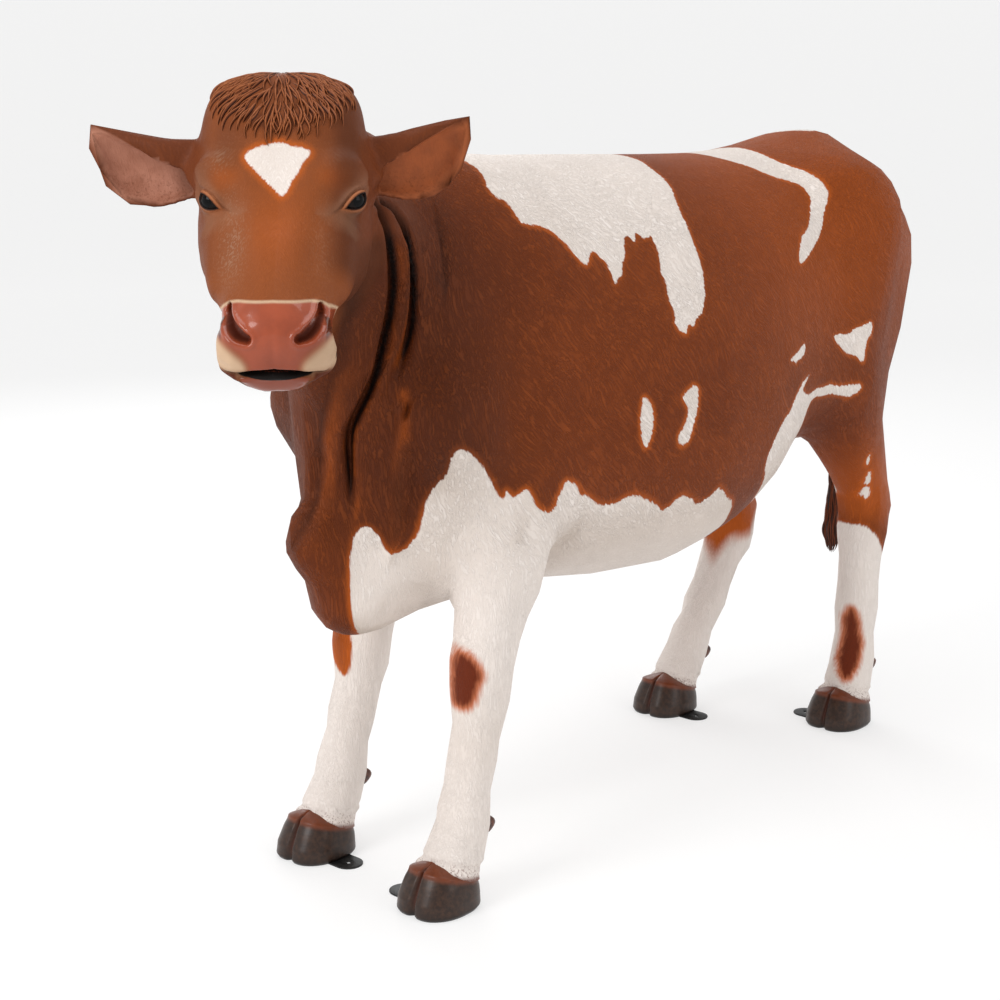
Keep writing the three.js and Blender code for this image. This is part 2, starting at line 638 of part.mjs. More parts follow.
for (const name of ["chest", "barrel", "hindquarters", "neck"]) add(name, trunk[name], coatRed);
add("brisket", trunk.brisket, coatRed);
add("udder", largest(bag.subtract(udderRoom)), coatWhite);
add("tail", tailEnd.ahead(largest(tail.subtract(udderRoom))), coatRed);
add("tail_switch", tailEnd.behind(tassel), coatDark);
add("head", [1, -1].reduce((made, side) => made.subtract(eyeBall(side, eyeRadius + gap)), headSolid), coatRed);
const headRoom = grown(headSolid, gap);
for (const [name, shape] of Object.entries(ears)) {
  add("ear_" + name, largest(ear(shape).subtract(headRoom)), coatRed);
  add("eye_" + name, eyeBall(shape.side, eyeRadius), eyeBlack);
}

for (const [name, { foot, fetlock, knee, hock }] of Object.entries(stance)) {
  const side = Math.sign(foot[0]);
  const joint = knee ?? hock;
  const low = [foot[0] - limbBox.inner, Math.min(foot[1], joint[0]) - limbBox.front];
  const high = [foot[0] + limbBox.outer, Math.max(foot[1], joint[0]) + limbBox.back];
  const upper = surface(flesh, {
    low: [...low, joint[1] - upperLimb.below], high: [...high, joint[1] + upperLimb.above], cell: upperLimb.cell,
  });
  const top = (knee ? elbow : stifle)(side);
  const lower = surface(flesh, {
    low: [...low, 0], high: [...high, joint[1] + lowerLimb.above], cell: lowerLimb.cell,
  });
  let shank = largest(coronet(foot[1]).ahead(level(joint[1]).behind(solid(lower))));
  const claws = [-1, 1].map((part) => {
    const claw = dewclaw(foot[0] + part * clawSpread, fetlock[0] + clawSeat[0], fetlock[1] + clawSeat[1]);
    shank = shank.subtract(grown(claw, gap));
    return claw;
  });
  add(name + (knee ? "_forearm" : "_gaskin"), largest(level(joint[1]).ahead(top.ahead(solid(upper)))), coatWhite);
  add(name + "_shank", shank, coatWhite);
  claws.forEach((claw, i) => add(name + "_dewclaw_" + ["inner", "outer"][side < 0 ? 1 - i : i], claw, horn));
  const plate = tab(foot);
  const socket = grown(plate, gap);
  add(name + "_hoof", hoof(foot).subtract(socket), horn);
  add(name + "_tab", plate, steelBlack);
}

const box = new THREE.Box3().setFromObject(cow);
cow.position.set(-(box.min.x + box.max.x) / 2, -(box.min.y + box.max.y) / 2, 0);

export default cow;
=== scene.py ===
# A life-size statue of a polled red and white cow, in painted moulded resin.
# Metres, +Z up, the cow faces -Y and its left is +X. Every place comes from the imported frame.
import math

import bpy
import numpy as np
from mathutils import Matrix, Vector
from mathutils.bvhtree import BVHTree


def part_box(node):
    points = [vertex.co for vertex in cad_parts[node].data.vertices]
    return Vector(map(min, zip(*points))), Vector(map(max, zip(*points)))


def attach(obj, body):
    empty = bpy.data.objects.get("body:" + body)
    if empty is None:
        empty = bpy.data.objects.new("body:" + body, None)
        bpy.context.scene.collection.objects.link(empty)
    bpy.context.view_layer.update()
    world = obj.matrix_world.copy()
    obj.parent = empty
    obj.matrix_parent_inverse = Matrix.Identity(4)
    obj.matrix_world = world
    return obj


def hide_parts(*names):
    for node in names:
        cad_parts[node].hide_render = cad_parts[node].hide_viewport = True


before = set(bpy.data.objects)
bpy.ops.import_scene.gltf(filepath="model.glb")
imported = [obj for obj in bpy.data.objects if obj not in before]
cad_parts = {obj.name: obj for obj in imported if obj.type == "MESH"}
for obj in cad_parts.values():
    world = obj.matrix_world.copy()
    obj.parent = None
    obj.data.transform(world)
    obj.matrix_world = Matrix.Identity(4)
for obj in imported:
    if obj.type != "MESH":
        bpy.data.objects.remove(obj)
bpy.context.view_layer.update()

bpy.ops.object.select_all(action="DESELECT")
up = Vector((0, 0, 1))


def middle(node):
    low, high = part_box(node)
    return (Vector(low) + Vector(high)) / 2


# ---- the head's own directions: across it to the left, along the nose, and out of the face

headShape = {
    "dip": math.radians(50),                     # of the nose below the horizontal
    "eye": np.array((0.099, 0.201, -0.022)),     # from the crown: across, along, out
    "eyeShift": np.array((0.005, 0, 0)),         # of both, towards the left
    "eyeRadius": 0.021,
}

eyeLeft, eyeRight = middle("eye_left"), middle("eye_right")
across = (eyeLeft - eyeRight).normalized()
forward = Vector((across.y, -across.x, 0)).normalized()
along = forward * math.cos(headShape["dip"]) - up * math.sin(headShape["dip"])
outward = along.cross(across) * (1 if along.cross(across).z > 0 else -1)
crown = (eyeLeft + eyeRight) / 2 - along * headShape["eye"][1] - outward * headShape["eye"][2]
crown = crown - across * headShape["eyeShift"][0]
headAxes = np.array([across, along, outward])
levelAxes = np.array([across, forward, up])
midX = middle("barrel").x


def inHead(places):
    return (places - np.array(crown)) @ headAxes.T


def eyePlace(side):
    return headShape["eye"] * (side, 1, 1) + headShape["eyeShift"]


def inLevelHead(places):
    return (places - np.array(crown)) @ levelAxes.T


# ---- camera, lights and floor

view = {
    "camera": (2.305, -2.731, 1.45),
    "looking": (-0.654, 0.722, -0.226),
    "lens": 68.4,
    "lights": {                  # place, size and power
        "keyLight": ((-0.6, -4.4, 3.2), (2.0, 2.6), 104),
        "sideLight": ((4.8, 0.4, 2.6), (2.4, 2.4), 35),
        "topLight": ((0.2, 0.2, 4.6), (2.6, 3.4), 48),
        "backLight": ((-3.6, 2.4, 2.8), (2.4, 2.4), 50),
    },
    "sky": 0.62,
    "glow": 0.58,
    "floor": (0.40, 0.40, 0.399, 1),
    "floorRadius": 9,
    "floorCurve": 4,
    "floorSteps": 10,            # of its rim, and the degrees each turns up
    "floorTurn": 9,
}


def addCamera():
    bpy.ops.object.camera_add(location=view["camera"])
    camera = bpy.context.object
    camera.rotation_euler = Vector(view["looking"]).to_track_quat("-Z", "Y").to_euler()
    camera.data.lens = view["lens"]
    camera.data.sensor_width = 36
    bpy.context.scene.camera = camera


def addLight(name, place, size, power):
    bpy.ops.object.light_add(type="AREA", location=place)
    lamp = bpy.context.object
    lamp.name = name
    lamp.rotation_euler = (Vector((0, 0, 0.8)) - Vector(place)).to_track_quat("-Z", "Y").to_euler()
    lamp.data.shape = "RECTANGLE"
    lamp.data.size, lamp.data.size_y = size
    lamp.data.energy = power


def addFloor():
    world = bpy.data.worlds.new("studio")
    bpy.context.scene.world = world
    world.use_nodes = True
    sky = world.node_tree.nodes["Background"].inputs
    sky["Color"].default_value = (1, 1, 1, 1)
    sky["Strength"].default_value = view["sky"]
    bpy.ops.mesh.primitive_circle_add(vertices=96, radius=view["floorRadius"], fill_type="NGON")
    floor = bpy.context.object
    floor.name = "studioFloor"
    bpy.ops.object.mode_set(mode="EDIT")
    bpy.ops.mesh.select_mode(type="EDGE")
    bpy.ops.mesh.select_all(action="SELECT")
    turn = math.radians(view["floorTurn"])
    reach = view["floorCurve"] * turn
    for step in range(view["floorSteps"]):       # the rim curves up into a low wall all round
        rising, level = math.sin(turn * (step + 0.5)), math.cos(turn * (step + 0.5))
        radius = view["floorRadius"] + view["floorCurve"] * math.sin(turn * step)
        move = {"value": (0, 0, reach * rising)}
        bpy.ops.mesh.extrude_edges_move(TRANSFORM_OT_translate=move)
        wider = (radius + reach * level) / radius
        bpy.ops.transform.resize(value=(wider, wider, 1))
    bpy.ops.object.mode_set(mode="OBJECT")
    bpy.ops.object.shade_smooth()
    paint = bpy.data.materials.new("studioFloor")
    paint.use_nodes = True
    sockets = paint.node_tree.nodes["Principled BSDF"].inputs
    sockets["Base Color"].default_value = view["floor"]
    sockets["Roughness"].default_value = 0.8
    sockets["Emission Color"].default_value = (1, 1, 1, 1)
    sockets["Emission Strength"].default_value = view["glow"]
    floor.data.materials.append(paint)


bpy.context.scene.view_settings.view_transform = "Standard"
addCamera()
for lightName, lightValues in view["lights"].items():
    addLight(lightName, *lightValues)
addFloor()
print("camera, lights and floor")


# ---- working with meshes

def deselect():
    bpy.ops.object.select_all(action="DESELECT")


def choose(piece):
    deselect()
    piece.select_set(True)
    bpy.context.view_layer.objects.active = piece


def modify(piece, kind, **settings):
    choose(piece)
    modifier = piece.modifiers.new("step", kind)
    for name, value in settings.items():
        setattr(modifier, name, value)
    bpy.ops.object.modifier_apply(modifier=modifier.name)


def mergeDoubles(piece):
    choose(piece)
    bpy.ops.object.mode_set(mode="EDIT")
    bpy.ops.mesh.select_all(action="SELECT")
    bpy.ops.mesh.remove_doubles(threshold=0.00001)
    bpy.ops.object.mode_set(mode="OBJECT")


def copyOf(node):
    copy = bpy.data.objects.new(node + "Copy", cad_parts[node].data.copy())
    bpy.context.collection.objects.link(copy)
    mergeDoubles(copy)
    copy.data.materials.clear()
    return copy


def joined(name, pieces):
    deselect()
    for piece in pieces:
        piece.select_set(True)
    bpy.context.view_layer.objects.active = pieces[0]
    bpy.ops.object.join()
    pieces[0].name = name
    return pieces[0]


def read(items, key, width, kind=float):
    values = np.empty(len(items) * width, np.float32 if kind is float else np.int32)
    items.foreach_get(key, values)
    return values.reshape(-1, width).astype(kind) if width > 1 else values.astype(kind)


def placesOf(piece):
    return read(piece.data.vertices, "co", 3)


def normalsOf(piece):
    return read(piece.data.vertex_normals, "vector", 3)


def setPlaces(piece, places):
    piece.data.vertices.foreach_set("co", places.astype(np.float32).ravel())
    piece.data.update()


def store(piece, name, amounts):         # a value at each point, for the paints to read
    layer = piece.data.attributes.new(name, "FLOAT", "POINT")
    layer.data.foreach_set("value", amounts.astype(np.float32))


def weigh(piece, name, weights, steps):
    group = piece.vertex_groups.new(name=name)
    rounded = np.round(np.clip(weights, 0, 1) * steps).astype(int)
    for step in range(1, steps + 1):
        group.add(np.nonzero(rounded == step)[0].tolist(), step / steps, "REPLACE")


def refine(piece, wanted):       # splits each face whose corners are all wanted
    choose(piece)
    starts = read(piece.data.polygons, "loop_start", 1, int)
    corners = read(piece.data.loops, "vertex_index", 1, int)
    chosen = np.minimum.reduceat(wanted[corners].astype(int), starts).astype(bool)
    bpy.ops.object.mode_set(mode="EDIT")
    bpy.ops.mesh.select_mode(type="FACE")
    bpy.ops.mesh.select_all(action="DESELECT")
    bpy.ops.object.mode_set(mode="OBJECT")
    piece.data.polygons.foreach_set("select", chosen)
    bpy.ops.object.mode_set(mode="EDIT")
    bpy.ops.mesh.subdivide(number_cuts=1)
    bpy.ops.object.mode_set(mode="OBJECT")


# ---- measures in numpy

tiny = 1e-12                     # keeps a division from failing
farOut = 0.06                    # an outline's distances are measured no further out than this


def rise(values, low, high):     # 0 at low, 1 at high, eased between
    share = np.clip((values - low) / (high - low), 0, 1)
    return share * share * (3 - 2 * share)


def bell(values, reach):
    return np.exp(-(values / reach) ** 2)


def dab(u, v, centre, reach):    # a soft patch, 1 at its centre
    return np.exp(-((u - centre[0]) / reach[0]) ** 2 - ((v - centre[1]) / reach[1]) ** 2)


def spanOf(points, centre, reach):       # how far from a centre, in shares of the reach
    return np.linalg.norm((points - centre) / reach, axis=1)


def most(first, *others):
    for other in others:
        first = np.maximum(first, other)
    return first


def eased(at, stops):            # a smooth line through (at, value) stops
    xs, ys = np.array(stops, float).T
    slopes = np.gradient(ys, xs)
    i = np.clip(np.searchsorted(xs, at) - 1, 0, len(xs) - 2)
    width = xs[i + 1] - xs[i]
    t = np.clip((at - xs[i]) / width, 0, 1)
    return ((2 * t ** 3 - 3 * t ** 2 + 1) * ys[i] + (t ** 3 - 2 * t ** 2 + t) * width * slopes[i]
            + (3 * t ** 2 - 2 * t ** 3) * ys[i + 1] + (t ** 3 - t ** 2) * width * slopes[i + 1])


def fromPath(points, path):      # the gap to a line of points, and the share of its length passed
    path = np.array(path, float)
    lengths = np.linalg.norm(np.diff(path, axis=0), axis=1)
    passed = np.concatenate([[0], np.cumsum(lengths)])
    gap = np.full(len(points), np.inf)
    share = np.zeros(len(points))
    for start, end, length, before in zip(path, path[1:], lengths, passed):
        t = np.clip(((points - start) @ (end - start)) / (length ** 2 + tiny), 0, 1)
        here = np.linalg.norm(points - (start + t[:, None] * (end - start)), axis=1)
        closer = here < gap
        gap[closer] = here[closer]
        share[closer] = (before + t[closer] * length) / passed[-1]
    return gap, share


def cutCorners(outline, rounds, closed=True):
    points = np.array(outline, float)
    for _ in range(rounds):
        ahead = np.roll(points, -1, axis=0)
        first, second = points * 0.75 + ahead * 0.25, points * 0.25 + ahead * 0.75
        both = np.stack([first, second], axis=1).reshape(-1, points.shape[1])
        points = both if closed else np.vstack([points[:1], both[:-2], points[-1:]])
    return points


def inside(everything, outline):         # the distance to a closed outline, positive inside it
    gaps = np.full(len(everything), -farOut)
    low, high = outline.min(axis=0) - farOut, outline.max(axis=0) + farOut
    near = ((everything > low) & (everything < high)).all(axis=1)
    points = everything[near]
    gap, _ = fromPath(points, np.vstack([outline, outline[:1]]))
    odd = np.zeros(len(points), bool)
    for a, b in zip(outline, np.roll(outline, -1, axis=0)):
        spans = (a[1] > points[:, 1]) != (b[1] > points[:, 1])
        reachX = a[0] + (points[:, 1] - a[1]) * (b[0] - a[0]) / (b[1] - a[1] + tiny)
        odd ^= spans & (points[:, 0] < reachX)
    gaps[near] = np.maximum(np.where(odd, gap, -gap), -farOut)
    return gaps


def within(points, outline):     # the same, for an outline whose corners are rounded
    return inside(points, cutCorners(outline, 2))


def mirrored(path):
    return [(-x, *rest) for x, *rest in path]


# ---- ears

earShape = {
    "wall": 0.0085,
    "start": 0.086,              # from the middle of the head, inside it
    "root": 0.104,
    "upper": ((0, -0.084), (0.3, -0.088), (0.6, -0.082), (0.85, -0.071), (1, -0.066)),
    "lower": ((0, -0.160), (0.25, -0.174), (0.5, -0.186), (0.72, -0.178), (0.9, -0.144),
              (1, -0.098)),
    "roll": ((0, 0.74), (0.15, 0.60), (0.37, 0.40), (0.6, 0.21), (0.84, 0.09), (1, 0.02)),
    "cup": 0.60,                 # depth behind, of half the height
    "flap": 0.34,                # of the rolled edge in front
    "left": {"side": 1, "reach": 0.282, "lift": 0.013, "sweep": 0.030},
    "right": {"side": -1, "reach": 0.296, "lift": 0.002, "sweep": 0.014},
}


def earSection(t, ear):          # middle height, half height, depth of the middle
    lift = ear["lift"] * np.minimum(1, 2 * np.clip(t, 0, 1))
    top, bottom = eased(t, earShape["upper"]) + lift, eased(t, earShape["lower"]) + lift
    return (top + bottom) / 2, (top - bottom) / 2, 0.004 - ear["sweep"] * np.clip(t, 0, 1) ** 2


def makeEar(name):
    ear = earShape[name]
    bpy.ops.mesh.primitive_grid_add(x_subdivisions=44, y_subdivisions=56, size=1)
    piece = bpy.context.object
    grid = placesOf(piece) + 0.5
    startShare = (earShape["start"] - earShape["root"]) / (ear["reach"] - earShape["root"])
    t = startShare + (1 - startShare) * grid[:, 1]
    mid, half, depth = earSection(t, ear)
    drop = eased(np.clip(t, 0, 1), earShape["roll"])
    turn = -np.arccos(1 - 2 * drop) * (1 - grid[:, 0]) + math.pi * grid[:, 0]
    narrow = 1 - 0.16 * (1 - rise(t, -0.1, 0.25))
    bulge = np.where(turn > 0, -earShape["cup"], -earShape["flap"]) * np.sin(turn)
    x = earShape["root"] + t * (ear["reach"] - earShape["root"])
    rounding = 1 - 0.75 * rise(t, 0.93, 1.0) * (1 - np.abs(np.cos(turn)))
    places = np.stack([ear["side"] * x, depth + half * bulge * rounding,
                       mid + half * np.cos(turn) * narrow], axis=1)
    setPlaces(piece, places @ levelAxes + np.array(crown))
    modify(piece, "SOLIDIFY", thickness=earShape["wall"], offset=0, use_even_offset=True)
    return piece


# ---- the skin's first shape, made of the flesh solids closed into one

skinShape = {
    "overlap": 0.0020,           # closes the thin cuts
    "lidRoom": 0.0036,           # skin over the eyeballs
    "voxel": 0.0042,
    "rounds": 190,               # of smoothing on the trunk
    "legs": 0.09,                # shares of it elsewhere
    "head": 0.05,
    "ears": 0.035,
    "brisket": 0.28,             # of what it would be, on the brisket
    "thin": 0.08,                # and on the tail and teats
    "fill": 0.0018,              # what smoothing takes from the trunk and legs
    "lockRoom": 0.0042,          # under the carved locks
    "triangles": 196000,
    "kept": 0.93,                # how much of the fine parts' triangles thinning leaves alone
}

feet = [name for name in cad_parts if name.endswith("_hoof")]
fleshNodes = [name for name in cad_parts
              if not name.startswith("eye_") and not name.endswith(("_hoof", "_tab", "_switch"))
              and "_dewclaw_" not in name]


def headShare(places):           # 1 on the head, easing to 0 down the neck
    return 1 - rise(spanOf(inHead(places), (0, 0.24, -0.10), (0.17, 0.34, 0.20)), 0.92, 1.35)


def pollShare(places):           # 1 where the carved locks lie
    return 1 - rise(spanOf(inHead(places), (0, 0.03, -0.01), (0.105, 0.105, 0.09)), 0.75, 1)


def earShare(places):
    x, f, z = inLevelHead(places).T
    beside = rise(np.abs(x), 0.105, 0.135)
    return beside * rise(z, -0.25, -0.215) * (np.abs(f) < 0.16) * (np.abs(x) < 0.33)


def legShare(places):
    x, _, z = places.T
    return rise(-z, -0.66, -0.52) * rise(np.abs(x - midX), 0.04, 0.07)


def makeSkinBase():
    parts = [copyOf(node) for node in fleshNodes if not node.startswith("ear_")]
    lids = [copyOf("eye_left"), copyOf("eye_right")]
    body = joined("skin", parts)
    modify(body, "DISPLACE", strength=skinShape["overlap"], mid_level=0)
    for lid in lids:
        modify(lid, "DISPLACE", strength=skinShape["lidRoom"], mid_level=0)
    skin = joined("skin", [body, *lids, makeEar("left"), makeEar("right")])
    modify(skin, "REMESH", mode="VOXEL", voxel_size=skinShape["voxel"])
    places = placesOf(skin)
    legs, head, ears = legShare(places), headShare(places), earShare(places)
    share = 1 + (skinShape["legs"] - 1) * legs
    share = share + (skinShape["head"] - share) * head
    share = share + (skinShape["ears"] - share) * ears
    x, y, z = places.T
    share = share * (1 - (1 - skinShape["brisket"]) * rise(-y, 0.52, 0.60) * (z < 1.05))
    tail = rise(y, 0.955, 0.975) * (np.abs(x - midX) < 0.045) * (z < 1.08)
    teats = (z < 0.70) * (np.abs(x - midX) < 0.12) * (y > 0.60) * (y < 0.88)
    share = share * (1 - (1 - skinShape["thin"]) * most(tail, teats))
    weigh(skin, "soft", share, steps=90)
    modify(skin, "SMOOTH", factor=0.8, iterations=skinShape["rounds"], vertex_group="soft")
    skin.vertex_groups.clear()
    places, normals = placesOf(skin), normalsOf(skin)
    fill = skinShape["fill"] * (1 - 0.7 * headShare(places)) * (1 - earShare(places))
    fill = fill - skinShape["lockRoom"] * pollShare(places)
    setPlaces(skin, places + normals * fill[:, None])
    return skin


# ---- the face, sculpted in the head's directions

face = {
    "lids": {                    # in the ball's own directions: away from the head, along, out
        "facing": (0.61, 0.50, 0.61),
        "corner": (0.68, -0.73, -0.08),
        "long": 57, "upper": 21, "lower": 25,        # degrees
        "edge": 0.0032, "behind": 0.007,
        "fold": 16, "foldDepth": 0.0034, "foldWidth": 4.0,
    },
    "tilt": (0.77, -0.63),       # along and out, for lines that run down the muzzle's front
    "nostril": ((0.0640, 0.307, 0.0030), (0.0655, 0.319, 0.0066), (0.0600, 0.3345, 0.0094),
                (0.0480, 0.3460, 0.0100), (0.0375, 0.3500, 0.0072)),
    "nostrilDepth": 0.020,
    "inward": (-0.45, -0.62, -0.64),             # the way a nostril goes in
    "mouth": ((0, 0.4850, -0.0370), (0.024, 0.4846, -0.0395), (0.040, 0.4830, -0.0430),
              (0.050, 0.4780, -0.0470), (0.059, 0.4600, -0.0550), (0.061, 0.4250, -0.0650),
              (0.057, 0.3850, -0.0740)),
    "mouthDepth": 0.016,
    "lip": ((0, 0.4800, -0.0700), (0.018, 0.4800, -0.0680), (0.034, 0.4790, -0.0610),
            (0.045, 0.4770, -0.0520)),
    "mounds": (                  # across, along, their reaches, and height
        (0.060, 0.300, 0.020, 0.050, -0.0055),       # hollow beside the nose
        (0.066, 0.235, 0.016, 0.022, -0.0040),       # in front of the eye
        (0.026, 0.290, 0.022, 0.070, 0.0026),        # nose bone's edges
        (0.094, 0.300, 0.012, 0.070, 0.0040),        # crest of the cheek
        (0.092, 0.155, 0.024, 0.018, 0.0075),        # brow
        (0.050, 0.185, 0.022, 0.030, 0.0022),
        (0.108, 0.243, 0.016, 0.012, 0.0024),        # bag under the eye
        (0.000, 0.170, 0.030, 0.050, -0.0020),       # forehead's middle
        (0.078, 0.448, 0.018, 0.030, 0.0030),        # side lobes of the upper lip
        (0.034, 0.405, 0.026, 0.020, 0.0026),        # crown of the nose pad
        (0.000, 0.470, 0.006, 0.020, -0.0016),       # groove of the upper lip
    ),
    "jaw": (-0.20, 0.04),        # how far out of the face they begin, and over what
    "slim": 0.05,                # of the muzzle's width
    "eyeReach": 0.06,            # round an eye, and the widest angle
    "eyeAngle": 115,
}


def lidGap(h, side):             # degrees round the ball outside the eye's opening, and the radius
    lids = face["lids"]
    flip = np.array((side, 1, 1))
    rel = (h - eyePlace(side)) * flip
    radius = np.linalg.norm(rel, axis=1) + 1e-9
    toward = np.array(lids["facing"]) / np.linalg.norm(lids["facing"])
    corner = np.array(lids["corner"]) - toward * np.dot(lids["corner"], toward)
    corner = corner / np.linalg.norm(corner)
    lift = np.cross(toward, corner)
    lift = lift * np.sign(lift[2])
    angle = np.degrees(np.arccos(np.clip(rel @ toward / radius, -1, 1)))
    u, v = rel @ corner, rel @ lift
    flat = np.hypot(u, v) + 1e-9
    u, v = u / flat * angle, v / flat * angle
    high = np.where(v > 0, lids["upper"], lids["lower"])
    shape = (u / lids["long"]) ** 2 + np.abs(v) / high - 1
    steep = np.hypot(2 * u / lids["long"] ** 2, 1 / high)
    return shape / steep, v, radius, rel, angle


def frontOf(h):                  # across, down the muzzle's front, and toward the viewer of it
    down, back = face["tilt"]
    return np.stack([h[:, 0], down * h[:, 1] + back * h[:, 2]], axis=1)


def nostrilGap(h):               # outside the nearer nostril's opening, negative inside
    flat = frontOf(h)
    flat[:, 0] = np.abs(flat[:, 0])
    path = cutCorners([p[:2] for p in face["nostril"]], 2, closed=False)
    gap, share = fromPath(flat, path)
    stops = np.linspace(0, 1, len(face["nostril"]))
    return gap - np.interp(share, stops, [p[2] for p in face["nostril"]])


def eyeArea(h, reach):
    return np.minimum(*[np.linalg.norm(h - eyePlace(side), axis=1) for side in (-1, 1)]) < reach


def muzzleArea(h):
    flat = frontOf(h)
    return (flat[:, 1] > 0.285) & (h[:, 1] > 0.33) & (np.abs(h[:, 0]) < 0.1)


def fromMouth(skin, h):          # both halves measured on the left one, laid on the skin
    line = inHead(onSurface(skin, np.array(face["mouth"]) @ headAxes + np.array(crown)))
    return fromPath(h * (np.where(h[:, :1] < 0, -1, 1) * (1, 0, 0) + (0, 1, 1)), line)


def refineFace(skin):
    h = inHead(placesOf(skin))
    front = (np.abs(h[:, 0]) < 0.12) & (h[:, 1] > 0.285) & (h[:, 1] < 0.52) & (h[:, 2] > -0.115)
    refine(skin, eyeArea(h, 0.062) | front | nearGrooves(skin, placesOf(skin), 0.020))
    h = inHead(placesOf(skin))
    mouthGap, _ = fromMouth(skin, h)
    refine(skin, eyeArea(h, 0.036) | (muzzleArea(h) & (nostrilGap(h) < 0.008)) | (mouthGap < 0.012))
    modify(skin, "SMOOTH", factor=0.5, iterations=2)
    h = inHead(placesOf(skin))
    margin = np.zeros(len(h), bool)
    for side in (-1, 1):
        gap, _, radius, _, angle = lidGap(h, side)
        margin |= (np.abs(gap) < 9) & (radius < 0.034) & (angle < 100)
    refine(skin, margin)


def sculptFace(skin):
    places, normals = placesOf(skin), normalsOf(skin)
    h = inHead(places)
    n = normals @ headAxes.T
    h[:, 0] *= 1 - face["slim"] * rise(h[:, 1], 0.34, 0.41) * rise(headShare(places), 0.6, 0.95)
    x, s, t = h.T
    w = np.abs(x)
    lift = np.zeros(len(h))
    lowest, over = face["jaw"]
    for cx, cs, reachX, reachS, height in face["mounds"]:
        lift += height * dab(w, s, (cx, cs), (reachX, reachS)) * rise(t, lowest, lowest + over)
    h = h + n * lift[:, None]

    gap = nostrilGap(h)
    nose = muzzleArea(h) & (t > -0.06)
    rim = 0.0028 * bell(gap - 0.0038, 0.0036) * nose
    hole = rise(-gap, -0.0008, 0.0042) * nose
    h = h + n * rim[:, None]
    inward = np.stack([np.sign(x), np.ones(len(h)), np.ones(len(h))], axis=1) * face["inward"]
    h = h + inward * (hole * face["nostrilDepth"])[:, None]

    mouthGap, share = fromMouth(skin, np.stack([w, s, t], axis=1))
    depth = face["mouthDepth"] * (1 - 0.75 * rise(share, 0.36, 0.56)) * (1 - rise(share, 0.9, 1.0))
    width = 0.0050 - 0.0030 * rise(share, 0.05, 0.5)
    near = (mouthGap < 0.03) & (s > 0.36)
    cut = depth * bell(mouthGap, width) * near
    lips = 0.0018 * bell(mouthGap - 0.0085, 0.0045) * near * (1 - rise(share, 0.5, 0.8))
    lipGap, _ = fromPath(np.stack([w, s, t], axis=1), face["lip"])
    lips += 0.0055 * bell(lipGap, 0.015) * (s > 0.44) * rise(-t, 0.046, 0.056)
    h = h + n * (lips - cut)[:, None]

    lids = face["lids"]
    ball = headShape["eyeRadius"]
    for side in (-1, 1):
        gap, v, radius, rel, angle = lidGap(h, side)
        area = (radius < face["eyeReach"]) & (angle < face["eyeAngle"])
        edge = ball + lids["edge"] + 0.0008 * (v > 0)
        share = rise(gap, 7, 42)
        wanted = edge * (1 - share) + radius * share
        wanted -= lids["foldDepth"] * bell(gap - lids["fold"], lids["foldWidth"]) * rise(v, -4, 10)
        wanted -= 0.0014 * bell(gap - 13, 4) * rise(-v, 0, 12)
        wanted += 0.0016 * bell(gap - 23, 6) * rise(v, -4, 12)
        opened = rise(-gap, 0.2, 3.2)
        wanted = wanted * (1 - opened) + (ball - lids["behind"]) * opened
        scale = np.where(area, wanted / radius, 1)
        flip = np.array((side, 1, 1))
        h = np.where(area[:, None], (rel * scale[:, None]) * flip + eyePlace(side), h)
    setPlaces(skin, h @ headAxes + np.array(crown))


# ---- folds of the neck and chest

